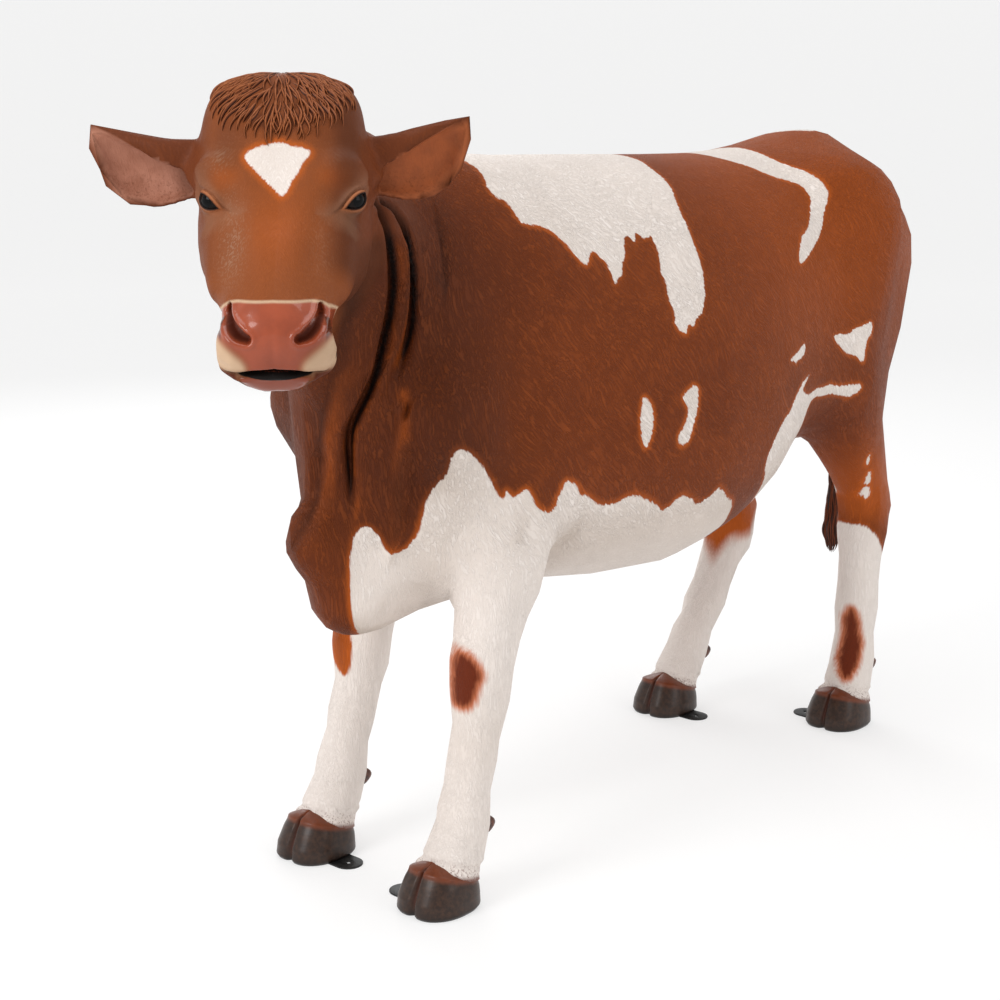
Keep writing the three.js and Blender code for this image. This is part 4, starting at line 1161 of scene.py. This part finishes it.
def markFace(places):
    x, s, t = inHead(places).T
    y, z = places[:, 1], places[:, 2]
    muzzle = rise(s, 0.30, 0.34) * (t > -0.10)
    h = np.stack([x, s, t], axis=1)
    # painted shade on the sides of the face and forehead, full on the left side away from the light,
    # half on the right
    faceSideShade = most(0.5 * rise(-x, 0.080, 0.115), rise(x, 0.052, 0.096), facePatch("faceSideShade", h))
    return {
        "faceSideShade": faceSideShade * headShare(places) * (1 - earShare(places)) * (1 - muzzle),
        # painted sheen beside the nose, on the brows and in front of the eyes, weaker on the left
        # side away from the light
        "hollowSheen": facePatch("hollowSheen", h) * (t > -0.10) * (1 - 0.65 * rise(x, 0.0, 0.05)),
        # painted light: lighter on the nose's bridge, the brows and the top of the back over the
        # hips
        "bright": most(facePatch("bridge", h) * (t > -0.06), facePatch("brow", h),
                       0.8 * rise(y, 0.05, 0.40) * rise(z, 0.82, 1.02)),
    }


def markMuzzle(skin, places):
    h = inHead(places)
    x, s, t = h.T
    w = np.abs(x)
    flat = frontOf(h)
    down = flat[:, 1]
    onMuzzle = (rise(s, 0.30, 0.34) > 0.5) & (t > -0.14)
    half = cutCorners(nosePad, 2, closed=False)
    pad = np.where(onMuzzle, inside(flat, np.vstack([half, mirrored(half)[::-1]])), -farOut)
    pad = trim(pad, t + 0.075)
    lobe = np.where(onMuzzle, within(np.stack([w, down], axis=1), lipLobe), -farOut)
    onLobe = lobe > -0.02

    gap, share = fromMouth(skin, h)
    # painted shade: the mouth's slit, its deeper part and the gap between the lips are painted black
    slit = bell(gap, 0.0048) * (share < 0.97) * (s > 0.36)
    behind = np.array(face["mouth"]) * (0.92, 1, 1) - (0, 0.010, 0)
    gap, share = fromPath(np.stack([w, s, t], axis=1), behind)
    deepSlit = 1.4 * bell(gap, 0.0080) * (share < 0.6) * (s > 0.42)
    between = rise(down, 0.3960, 0.3985) * (1 - rise(down + 3.4 * x ** 2, 0.4080, 0.4115))
    between = between * (1 - rise(w, 0.046, 0.056)) * (t > -0.12) * (s > 0.44)

    lip = rise(down, 0.404, 0.408) * rise(t + 0.101 - 21 * x ** 2, -0.002, 0.003) * (s > 0.44)
    # painted shade under the lower lip
    chin = rise(-(t + 0.101 - 18 * x ** 2), 0.002, 0.014) * (s > 0.40)
    chin = chin * (1 - lip) * rise(headShare(places), 0.7, 0.9) * (1 - rise(lobe, -0.004, 0.004))
    shaded = most(0.4 * rise(w, 0.094, 0.106), 0.6 * rise(down, 0.388, 0.408),
                  0.22 * rise(x, 0.02, 0.06))
    return {
        "pad": pad, "lobe": lobe, "lip": lip, "chin": chin,
        "padSoft": rise(down, 0.326, 0.346),
        # darker down the pad's middle toward the mouth, and painted shade on the pad's lower left
        # side, away from the light
        "philtrum": (pad > 0) * most(bell(x, 0.030) * rise(down, 0.352, 0.392),
                                     0.8 * rise(x, -0.01, 0.05) * rise(down, 0.312, 0.345)),
        "lobeShade": onLobe * shaded,
        "mouth": most(slit, deepSlit, between),
        # painted shade inside the nostrils
        "hole": rise(-nostrilGap(h), -0.0006, 0.0050) * muzzleArea(h),
    }


def markLids(places):
    h = inHead(places)
    marks = {"lidDark": [], "lidPale": [], "eyeRing": []}
    for side in (-1, 1):
        gap, _, radius, _, angle = lidGap(h, side)
        area = (radius < face["eyeReach"]) & (angle < face["eyeAngle"])
        marks["lidDark"].append(area * (1 - rise(gap, 1.0, 3.6)))
        marks["lidPale"].append(area * bell(gap - 9, 6))
        marks["eyeRing"].append(area * bell(gap - 26, 16))
    return {name: most(*amounts) for name, amounts in marks.items()}


def markEars(places, normals):
    x, f, z = inLevelHead(places).T
    ears = earShare(places)
    inner, root = np.zeros(len(places)), np.zeros(len(places))
    for name in ("left", "right"):
        ear = earShape[name]
        t = (np.abs(x) - earShape["root"]) / (ear["reach"] - earShape["root"])
        mid, half, depth = earSection(t, ear)
        toCentre = np.stack([np.zeros(len(t)), depth - f + 0.002, mid - z], axis=1)
        gap = np.linalg.norm(toCentre, axis=1) + tiny
        facing = (normals @ levelAxes.T * toCentre).sum(axis=1) / gap
        cupped = rise(facing, 0.0, 0.35) * (np.sign(x) == ear["side"]) * (gap < half * 1.15) * ears
        inner = most(inner, cupped * rise(t, 0.0, 0.12) * (f > -0.115))
        # painted shade deep in the ear's cup, at its root
        root = most(root, cupped * (1 - rise(t, 0.05, 0.42)))
    rim = ears * bell(np.abs(z + 0.168), 0.03) * rise(inner, 0.1, 0.5)
    return {"ears": ears, "earIn": inner, "earRim": rim, "earRoot": root}


def markCoronets(places):
    height = np.full(len(places), 0.2)
    for node in feet:
        rel = places - footOf(node)
        height = np.where(nearFoot(rel, 0.12), np.minimum(height, overCoronet(rel)), height)
    return {"coronet": height}


def markSkin(skin):
    places, normals = placesOf(skin), normalsOf(skin)
    marks = {**markCoat(places, normals), **markFolds(skin, places), **markFace(places),
             **markMuzzle(skin, places), **markLids(places), **markEars(places, normals),
             **markCoronets(places)}
    for name, amounts in marks.items():
        store(skin, name, np.clip(amounts, -1, 1))
    return list(marks)


# ---- the coat's paint

coatColours = {
    "body": tint(124, 56, 13),
    "bodyDeep": tint(86, 33, 7),
    "bodyDark": tint(52, 20, 7),
    "bodyWarm": tint(160, 77, 22),
    "faceBrown": tint(140, 76, 38),
    "neckBrown": tint(100, 44, 14),
    "orange": tint(190, 90, 22),
    "black": tint(14, 7, 5),
    "white": tint(234, 224, 217),
    "whiteDeep": tint(194, 176, 160),
    "udder": tint(206, 158, 130),
    "underShade": tint(176, 160, 142),
    "rust": tint(102, 38, 12),
    "pad": tint(158, 72, 42),
    "padDeep": tint(112, 46, 24),
    "cream": tint(200, 168, 138),
    "lobeDeep": tint(84, 50, 30),
    "hole": tint(84, 36, 22),
    "lidDark": tint(30, 16, 12),
    "lidPale": tint(176, 110, 72),
    "grey": tint(158, 122, 98),
    "ear": tint(178, 122, 100),
    "earShadedSide": tint(172, 94, 54),
    "earDeep": tint(126, 70, 46),
    "earRoot": tint(60, 32, 20),
    "earBack": tint(94, 48, 26),
}
coatRelief = {
    "stroke": (0.0060, 0.048),   # width and length of the carved hair
    "depth": 0.0013,
}


def coatPaint(names):
    paint = Paint("coat")
    c = coatColours
    place = paint.place()
    at = {name: paint.value(name) for name in names}
    wavy = paint.node("ShaderNodeTexNoise", {}, {"Vector": place, "Scale": 7.0, "Detail": 1.0},
                      "Color")
    loose = paint.node("ShaderNodeVectorMath", {"operation": "MULTIPLY_ADD"},
                       {0: wavy, 1: (0.05, 0.05, 0.05), 2: place})
    fromCrown = paint.node("ShaderNodeVectorMath", {"operation": "SUBTRACT"},
                           {0: place, 1: tuple(crown)})
    faceX = abs(paint.dot(fromCrown, across))
    facePlace = paint.node("ShaderNodeCombineXYZ", {},
                           {"X": faceX, "Y": paint.dot(fromCrown, along),
                            "Z": paint.dot(fromCrown, outward)})
    wide, long = coatRelief["stroke"]
    trunkHair = paint.combed(loose, (0.05, 0.62, -0.78), wide, long, 3.0, 0.62)
    neckHair = paint.combed(loose, (0.05, 0.20, -0.97), wide, long, 3.0, 0.62)
    legHair = paint.combed(loose, (0, 0.05, -1), wide * 0.7, long * 0.7, 3.0, 0.62)
    faceHair = paint.combed(facePlace, (0.55, 0.80, 0.1), wide * 0.34, long * 0.42, 2.0, 0.6)
    hair = trunkHair * (1 - at["neck"]) + neckHair * at["neck"]
    hair = hair * (1 - at["legs"]) + legHair * at["legs"]
    hair = hair * (1 - at["face"]) + faceHair * at["face"]
    stroke = abs(hair * 2.0 - 1.0).rise(0.0, 0.20) * 0.6 + hair.rise(0.30, 0.70) * 0.4
    cloud = paint.noise(place, 3.0, 2.0, 0.5)
    fineCloud = paint.noise(place, 26.0, 3.0, 0.6)

    calmFace = 1 - at["face"] * 0.55
    edge = at["white"] + (hair - 0.5) * (0.012 - at["face"] * 0.005)
    brown = paint.layers(
        c["body"],
        (cloud.rise(0.36, 0.70) * 0.45, c["bodyDeep"]),
        (fineCloud.rise(0.45, 0.75) * 0.22, c["bodyWarm"]),
        (at["neck"] * 0.45, c["neckBrown"]),
        (at["face"] * 0.8, c["faceBrown"]),
        (at["shade"] * 0.80, c["bodyDark"]),
        # painted highlight on the carved hair's crests and painted shade in its grooves
        (stroke * 0.22 * calmFace, c["bodyWarm"]),
        ((1 - stroke) * 0.30 * calmFace, c["bodyDeep"]),
        # painted light in orange
        (at["bright"] * 0.30, c["orange"]),
        # painted grey sheen, streaked along the hair
        (at["hollowSheen"] * (0.15 + 0.5 * hair.rise(0.50, 0.62)), c["grey"]),
        # painted highlight in orange on the ridges
        (at["ridgeHighlight"] * 0.32, c["orange"]),
        # painted shade between the locks
        (at["poll"] * 0.22 + at["lockTipShade"] * 0.50, c["bodyDark"]),
        # painted shade on the face's sides
        (at["faceSideShade"] * 0.62, c["bodyDark"]),
        (edge.rise(-0.013, -0.001) * (0.16 + 0.5 * cloud.rise(0.4, 0.6)), c["orange"]),
        (at["warm"] * (0.75 + (hair - 0.5) * 0.6), c["orange"]))
    white = paint.layers(
        c["white"],
        # painted shade in the carved hair's grooves on the white, then a random cloudy tone
        ((1 - stroke) * (0.36 - at["legs"] * 0.16), c["whiteDeep"]),
        (cloud.rise(0.5, 0.8) * 0.25, c["whiteDeep"]))
    softEdge = edge * (1 - at["soft"] * 0.93)
    spot = at["rust"] + (hair - 0.5) * 0.016
    colour = paint.layers(
        brown,
        (softEdge.rise(-0.0018, 0.0014), white),
        (spot.rise(-0.014, 0.003) * 0.9, c["orange"]),
        (spot.rise(-0.003, 0.012), c["rust"]),
        (at["udder"] * 0.5, c["udder"]))
    # a darker copy of the colour, for painted shade
    shadedBelow = paint.mix(1.0, colour, c["underShade"], "MULTIPLY")

    # the left ear's inside is painted browner, as in shade, than the lit right one
    leftward = paint.dot(fromCrown, across).rise(-0.02, 0.02)
    ear = paint.layers(c["ear"], (leftward, c["earShadedSide"]),
                       (fineCloud.rise(0.30, 0.75) * 0.55, c["earDeep"]))
    speck = paint.noise(place, 240.0, 2.0, 0.7).rise(0.52, 0.66)
    lobe = at["lobe"].rise(-0.010, 0.010)
    padCore = (at["pad"] * (1 - at["padSoft"] * 0.78)).rise(-0.0014, 0.0024)
    pink = paint.layers(
        c["pad"],
        (fineCloud.rise(0.35, 0.75) * 0.35, c["padDeep"]),
        (at["philtrum"] * 0.6, c["padDeep"]))
    colour = paint.layers(
        colour,
        # painted shade on the underside, less on the legs
        (at["under"] * (1 - at["legs"] * 0.6) * 0.55, shadedBelow),
        # painted shade, black, in the neck's folds
        (at["creaseShade"] * 0.97, c["black"]),
        (at["ears"] * 0.6, c["earBack"]),
        (at["earIn"], ear),
        (at["earRoot"] * 0.75, c["earRoot"]),
        (at["earRim"] * speck * 0.45, c["earBack"]),
        (lobe, c["cream"]),
        (at["lobeShade"] * 0.85, c["lobeDeep"]),
        (at["pad"].rise(-0.0046, -0.0012) * (1 - at["padSoft"]), c["cream"]),
        (padCore, pink),
        (at["lip"], paint.mix(0.70, pink, c["padDeep"])),
        (at["hole"], c["hole"]),
        (at["chin"], c["bodyDeep"]),
        (at["mouth"].rise(0.35, 0.8), c["black"]),
        (at["eyeRing"] * 0.25, c["grey"]),
        (at["lidPale"] * 0.8, c["lidPale"]),
        (at["lidDark"], c["lidDark"]),
        ((1 - at["coronet"].rise(0.004, 0.036)) * speck * 0.7, c["rust"]),
        ((1 - at["coronet"].rise(-0.002, 0.008)) * 0.8, c["rust"]))

    wet = (padCore + at["lip"] - at["hole"] - at["mouth"]).rise(0.0, 1.0)
    paint.surface(Base_Color=colour, Roughness=0.50 - wet * 0.22 + (1 - stroke) * 0.08,
                  Coat_Weight=wet * 0.7, Coat_Roughness=0.10, Specular_IOR_Level=0.14)
    smooth = padCore + lobe * 0.7 + at["lidDark"] + at["lidPale"] * 0.7 + at["hole"] + at["lip"]
    carved = (stroke + hair * 0.3) * (1 - at["face"] * 0.74) * (1 - at["ears"] * 0.8)
    carved = carved * (1 - at["legs"] * 0.45) * (1 - smooth.rise(0.0, 1.0))
    grain = paint.noise(place, 900.0, 1.0) * 0.06
    paint.relief(carved + grain, coatRelief["depth"], 1.0)
    return paint


# ---- eyes

eyeShape = {
    "radius": 0.0212,
    "bulge": 0.0012,
    "ball": tint(4, 4, 5),
    "iris": tint(34, 20, 14),
}


def makeEye(node, side, paint):
    bpy.ops.mesh.primitive_uv_sphere_add(segments=64, ring_count=48, radius=eyeShape["radius"])
    eye = bpy.context.object
    eye.name = node.replace("_", "")
    looking = np.array(face["lids"]["facing"]) * (side, 1, 1)
    looking = looking / np.linalg.norm(looking) @ headAxes
    ball = placesOf(eye)
    toward = ball @ looking / eyeShape["radius"]
    ball = ball * (1 + eyeShape["bulge"] / eyeShape["radius"] * rise(toward, 0.75, 0.95))[:, None]
    setPlaces(eye, ball + np.array(middle(node)))
    store(eye, "pupil", toward)
    finish(eye, "eye_black", node)
    dress(eye, paint)


def eyePaint():
    paint = Paint("eyeGlass")
    ring = paint.value("pupil")
    flecks = paint.noise(paint.place(), 900.0, 2.0)
    iris = ring.rise(0.68, 0.78) * (1 - ring.rise(0.86, 0.92)) * flecks
    colour = paint.mix(iris, eyeShape["ball"], eyeShape["iris"])
    paint.surface(Base_Color=colour, Roughness=0.10 + flecks * 0.04, Specular_IOR_Level=0.07,
                  Coat_Weight=0.12, Coat_Roughness=0.03)
    return paint


# ---- horn and steel

hornColours = {
    "horn": tint(42, 26, 18),
    "light": tint(62, 40, 27),
    "sole": tint(20, 14, 11),
    "top": tint(120, 54, 20),
    "cleft": tint(74, 34, 18),
    "claw": tint(58, 30, 20),
    "clawLight": tint(104, 54, 32),
}
steelColours = {
    "black": tint(22, 22, 23),
    "worn": tint(52, 51, 50),
    "scratch": tint(96, 92, 88),
}


def hornPaint():
    paint = Paint("hornPaint")
    place = paint.place()
    over = paint.value("coronet")
    height = paint.dot(place, (0, 0, 1))
    grain = paint.noise(place, 120.0, 4.0, 0.6)
    stretched = paint.node("ShaderNodeMapping", {}, {"Vector": place, "Scale": (6, 6, 260)})
    rings = paint.noise(stretched, 1.0, 3.0, 0.6)
    colour = paint.layers(
        hornColours["horn"],
        (grain.rise(0.35, 0.7), hornColours["light"]),
        ((1 - height.rise(0.0, 0.016)) * 0.85, hornColours["sole"]),
        (over.rise(-0.012, -0.002) * (0.45 + grain * 0.5), hornColours["top"]),
        (paint.value("cleft"), hornColours["cleft"]))
    paint.surface(Base_Color=colour, Roughness=0.32 + grain * 0.16, Specular_IOR_Level=0.3,
                  Coat_Weight=0.15, Coat_Roughness=0.2)
    paint.relief(rings * 0.6 + grain * 0.4, 0.0009, 0.7)
    return paint


def markHorn(piece, foot):
    rel = placesOf(piece) - foot
    store(piece, "coronet", overCoronet(rel))
    inFront = (rel[:, 1] < -0.03) * rise(rel[:, 2], 0.004, 0.03)
    store(piece, "cleft", bell(rel[:, 0], 0.004) * inFront)


def clawPaint():
    paint = Paint("clawPaint")
    grain = paint.noise(paint.place(), 160.0, 4.0, 0.6)
    colour = paint.mix(grain.rise(0.35, 0.7), hornColours["claw"], hornColours["clawLight"])
    paint.surface(Base_Color=colour, Roughness=0.34 + grain * 0.16, Coat_Weight=0.25,
                  Coat_Roughness=0.2)
    paint.relief(grain, 0.0008, 0.7)
    return paint


def tabPaint():
    paint = Paint("tabSteel")
    place = paint.place()
    wear = paint.noise(place, 60.0, 5.0, 0.65)
    scratch = paint.combed(place, (0.8, 0.6, 0), 0.002, 0.05, 2.0)
    colour = paint.layers(
        steelColours["black"],
        (wear.rise(0.45, 0.75), steelColours["worn"]),
        (scratch.rise(0.66, 0.74) * 0.5, steelColours["scratch"]))
    paint.surface(Base_Color=colour, Roughness=0.36 + wear * 0.2, Metallic=0.35)
    paint.relief(wear, 0.0004, 0.6)
    return paint


# ---- carved locks: arched strips laid along flowing paths

pollLocks = {
    "rows": 26, "columns": 9,
    "seed": 7,
    "split": 0.0,
    "spacing": (0.0092, 0.0112), # across and down the poll
    "jitter": (0.40, 0.45),      # of the spacing
    "deep": 0.215,               # from the lowest roots to the back
    "wide": (-0.082, 0.092),
    "low": -0.075,               # the topmost roots, along the head
    "fringe": ((-0.090, 0.058), (-0.071, 0.087), (-0.040, 0.109), (-0.015, 0.124), (0.005, 0.128),
               (0.025, 0.120), (0.050, 0.104), (0.084, 0.070), (0.100, 0.044)),
    "hang": 0.036,               # from the lowest roots to the fringe's tips
    "parting": -0.004,
    "width": 0.0030, "height": 0.0034,
    "size": (0.8, 1.15),
    "length": (0.044, 0.070),
    "lean": {-1: 24, 1: 44},     # degrees down from level, to either side of the parting
    "leanLow": 34,               # more of it at the fringe
    "leanMiddle": 88,            # and at the parting
    "curl": (26, 62),
    "waves": (0.048, 0.078),     # their length
    "sway": (8, 18),             # their swing in degrees
    "swayShare": {-1: 0.8, 1: 1.3},
    "fallBack": 70,              # behind the crown
    "bury": 0.0034,              # of the tip
    "colours": (tint(122, 62, 28), tint(50, 20, 8), tint(168, 100, 56)),     # side, painted shade in the groove, painted highlight on the crest
}
tailLocks = {
    "rows": 34, "columns": 13,
    "seed": 11,
    "split": 0.45,
    "count": 74,
    "outline": ((0, 0.50), (0.3, 0.62), (0.55, 0.86), (0.8, 0.92), (0.92, 0.60), (1, 0.16)),
    "width": 0.0080, "height": 0.0048,
    "core": 0.10,                # what the outline leaves for a strand's own thickness
    "ripple": 0.0025,
    "colours": (tint(98, 44, 18), tint(36, 15, 7), tint(136, 70, 36)),
}
halfTuft = 0.0015                # half of a strip's place on the unwrap


def layStrips(name, paths, shape):       # a path: places, outward ways, widths, heights, root
    rows, columns = shape["rows"], shape["columns"]
    bpy.ops.mesh.primitive_grid_add(x_subdivisions=columns - 1, y_subdivisions=rows - 1, size=1)
    piece = bpy.context.object
    piece.name = name
    modify(piece, "ARRAY", count=len(paths), use_relative_offset=False, use_constant_offset=True,
           constant_offset_displace=(2, 0, 0))
    grid = placesOf(piece)
    per = rows * columns
    places = np.empty_like(grid)
    crest, roots = np.empty(len(grid)), np.empty((len(grid), 2))
    for i, (line, lifts, widths, heights, root) in enumerate(paths):
        part = slice(i * per, (i + 1) * per)
        c = (grid[part, 0] - 2 * i) * 2
        t = grid[part, 1] + 0.5
        row = np.clip(np.round(t * (rows - 1)).astype(int), 0, rows - 1)
        ahead = np.gradient(line, axis=0)
        ahead = ahead / (np.linalg.norm(ahead, axis=1)[:, None] + tiny)
        aside = np.cross(ahead, lifts)
        aside = aside / (np.linalg.norm(aside, axis=1)[:, None] + tiny)
        strands = 1 - shape["split"] * (0.5 - 0.5 * np.cos(3 * math.pi * c))
        arch = np.clip(1 - np.abs(c) ** 1.5, 0, 1) * strands
        places[part] = (line[row] + aside[row] * (c * widths[row])[:, None]
                        + lifts[row] * (heights[row] * (arch * 1.5 - 0.5))[:, None])
        crest[part] = arch
        roots[part] = np.array(root) + np.stack([c, t], axis=1) * halfTuft
    setPlaces(piece, places)
    store(piece, "crest", crest)
    corners = read(piece.data.loops, "vertex_index", 1, int)
    while piece.data.uv_layers:
        piece.data.uv_layers.remove(piece.data.uv_layers[0])
    layer = piece.data.uv_layers.new(name="OFBake")
    layer.data.foreach_set("uv", roots[corners].astype(np.float32).ravel())
    return piece


def taper(t, root, tip):
    return np.clip(t / root, 0.05, 1) ** 0.6 * np.clip((1 - t) / tip, 0.02, 1) ** 0.75


def layLock(tree, x, s, row, random):    # from its root at (x, s) on the head, along the skin
    shape = pollLocks
    away = x - shape["parting"]
    flip = -1 if away < 0 else 1
    length = random.uniform(*shape["length"]) * (0.75 if row == 0 else 1)
    sideways = float(rise(abs(away), 0.0, 0.018))
    lean = shape["lean"][flip] + shape["leanLow"] * float(rise(s, 0.015, 0.090))
    lean = lean * sideways + shape["leanMiddle"] * (1 - sideways)
    curl = random.uniform(*shape["curl"])
    back = float(rise(-s, 0.030, 0.062))
    swing = random.uniform(0, 2 * math.pi)
    waves = random.uniform(*shape["waves"])
    sway = random.uniform(*shape["sway"]) * shape["swayShare"][flip]
    above = np.array((x, s, 0.0)) @ headAxes + np.array(crown) + np.array(outward) * 0.03
    point, normal, _, _ = tree.find_nearest(Vector(above))
    step = length / (shape["rows"] - 1)
    line, lifts = [], []
    for k in range(shape["rows"]):
        t = k / (shape["rows"] - 1)
        turn = lean + curl * t ** 2 + sway * math.sin(swing + 2 * math.pi * t * length / waves)
        behind = shape["fallBack"] + sway * math.sin(swing + 6 * t)
        turn = math.radians(turn * (1 - back) - behind * back)
        way = across * (flip * math.cos(turn)) + along * math.sin(turn)
        way = (way - normal * way.dot(normal)).normalized()
        bury = shape["bury"] * float(rise(t, 0.82, 1.0))
        line.append(point + normal * (0.0003 + 0.0004 * (row % 3) - bury))
        lifts.append(normal)
        onward, tilted, _, _ = tree.find_nearest(point + way * step)
        point, normal = onward, (normal * 0.5 + tilted * 0.5).normalized()
    t = np.linspace(0, 1, shape["rows"])
    size = random.uniform(*shape["size"])
    widths = shape["width"] * size * taper(t, 0.30, 0.50)
    heights = shape["height"] * size * (0.30 + 0.70 * rise(t, 0.05, 0.60)) * taper(t, 0.1, 0.25)
    return np.array(line), np.array(lifts), widths, heights, (0.5 + x * 4.4, 0.42 + s * 4.4)


def combPoll(skin):
    shape = pollLocks
    random = np.random.default_rng(shape["seed"])
    places = placesOf(skin)
    near = np.linalg.norm(inHead(places) - (0, 0.02, -0.01), axis=1) < 0.22
    polygons = [p.vertices[:] for p in skin.data.polygons if near[p.vertices[0]]]
    tree = BVHTree.FromPolygons([tuple(p) for p in places], polygons)
    fringeX, fringeS = np.array(shape["fringe"]).T
    paths = []
    (stepX, stepS), (jitterX, jitterS) = shape["spacing"], shape["jitter"]
    for row in range(int(shape["deep"] / stepS)):        # each row lies over the one below
        for j in range(-15, 16):
            x = shape["parting"] + (j + 0.5 * (row % 2)) * stepX
            x = x + random.uniform(-jitterX, jitterX) * stepX
            s = np.interp(x, fringeX, fringeS) - shape["hang"] - row * stepS
            s = s + random.uniform(-jitterS, jitterS) * stepS
            if s > shape["low"] and shape["wide"][0] < x < shape["wide"][1]:
                paths.append(layLock(tree, x, s, row, random))
    return layStrips("pollLocks", paths, shape)


goldenTurn = 2.399963            # spreads the strands evenly round the tail


def combTail():
    shape = tailLocks
    random = np.random.default_rng(shape["seed"])
    low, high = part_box("tail_switch")
    centre = (np.array(low) + np.array(high)) / 2
    half = (np.array(high) - np.array(low)) / 2
    paths = []
    for k in range(shape["count"]):
        layer = random.uniform(0.2, 1.0) ** 0.5
        angle = k * goldenTurn + random.uniform(-0.2, 0.2)
        start = random.uniform(0, 0.42) if k % 3 else random.uniform(-0.14, -0.06)
        t = np.linspace(0, 1, shape["rows"])
        down = start + (random.uniform(0.86, 1.0) - start) * t
        narrow = eased(down, shape["outline"])
        twist = angle + 0.5 * t + 0.12 * np.sin(6 * t + k)
        reach = layer * (narrow - shape["core"])
        x = centre[0] + half[0] * reach * np.cos(twist) + shape["ripple"] * np.sin(9 * t + k)
        y = centre[1] + half[1] * reach * np.sin(twist) + shape["ripple"] * np.cos(8 * t + 2 * k)
        z = high[2] - (high[2] - low[2]) * down
        lifts = np.stack([np.cos(twist), np.sin(twist), np.zeros(len(t))], axis=1)
        widths = shape["width"] * random.uniform(0.7, 1.1) * taper(t, 0.15, 0.5)
        heights = shape["height"] * random.uniform(0.8, 1.1) * taper(t, 0.2, 0.4)
        root = (0.02 + 0.94 * ((angle / (2 * math.pi)) % 1), 0.18 + 0.78 * start)
        paths.append((np.stack([x, y, z], axis=1), lifts, widths, heights, root))
    return layStrips("tailSwitch", paths, shape)


def lockPaint(name, base, deep, light):
    paint = Paint(name)
    place = paint.place()
    crest = paint.value("crest")
    grain = paint.noise(place, 260.0, 3.0, 0.6)
    # painted shade at each strip's edges and painted highlight along its crest
    colour = paint.layers(
        deep,
        (crest.rise(0.30, 0.85), base),
        (crest.rise(0.80, 1.0) * (0.35 + 0.65 * grain.rise(0.35, 0.65)), light))
    paint.surface(Base_Color=colour, Roughness=0.44 + grain * 0.14, Specular_IOR_Level=0.25)
    paint.relief(grain, 0.0004, 0.8)
    return paint


# ---- putting the model together

def thinOut(skin):               # the face, grooves, feet and markings' edges keep small triangles
    places = placesOf(skin)
    h = inHead(places)
    edge = np.min(np.abs(markings(places)), axis=0)
    fine = most(0.55 * headShare(places), 0.9 * nearGrooves(skin, places, 0.014),
                eyeArea(h, 0.042) + 0.9 * (muzzleArea(h) & (h[:, 2] > -0.11)),
                0.8 * (1 - rise(edge, 0.006, 0.014)))
    for node in feet:
        rel = places - footOf(node)
        fine = most(fine, 0.7 * (overCoronet(rel) < 0.03) * nearFoot(rel, 0.12))
    weigh(skin, "spare", 1 - skinShape["kept"] * np.clip(fine, 0, 1), steps=20)
    triangles = int((read(skin.data.polygons, "loop_total", 1, int) - 2).sum())
    modify(skin, "DECIMATE", ratio=skinShape["triangles"] / triangles, vertex_group="spare",
           use_collapse_triangulate=True)
    skin.vertex_groups.clear()


skin = makeSkinBase()
print("skin closed into one")
refineFace(skin)
sculptFace(skin)
sculptFolds(skin)
sculptFeet(skin)
print("face, folds and feet sculpted")
thinOut(skin)
print("skin has", len(skin.data.polygons), "triangles")
names = markSkin(skin)
dress(skin, coatPaint(names))
finish(skin, "coat_red", *fleshNodes)
print("skin painted")

horn, claw, steel, glass = hornPaint(), clawPaint(), tabPaint(), eyePaint()
for node in feet:
    hoof = makeHoof(node)
    markHorn(hoof, footOf(node))
    dress(hoof, horn)
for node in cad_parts:
    if "_dewclaw_" in node:
        piece = copyOf(node)
        modify(piece, "SUBSURF", levels=2, render_levels=2)
        finish(piece, "hoof_horn_paint", node)
        dress(piece, claw)
    if node.endswith("_tab"):
        piece = copyOf(node)
        modify(piece, "BEVEL", width=0.0006, segments=2, limit_method="ANGLE")
        choose(piece)
        bpy.ops.object.shade_smooth_by_angle(angle=math.radians(35))
        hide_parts(node)
        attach(piece, "root")
        dress(piece, steel)
makeEye("eye_left", 1, glass)
makeEye("eye_right", -1, glass)
print("hooves, claws, tabs and eyes")

locks = combPoll(skin)
finish(locks, "coat_red")
dress(locks, lockPaint("pollPaint", *pollLocks["colours"]))
switch = combTail()
finish(switch, "coat_dark", "tail_switch")
dress(switch, lockPaint("switchPaint", *tailLocks["colours"]))
print("locks", len(locks.data.polygons), "switch", len(switch.data.polygons))
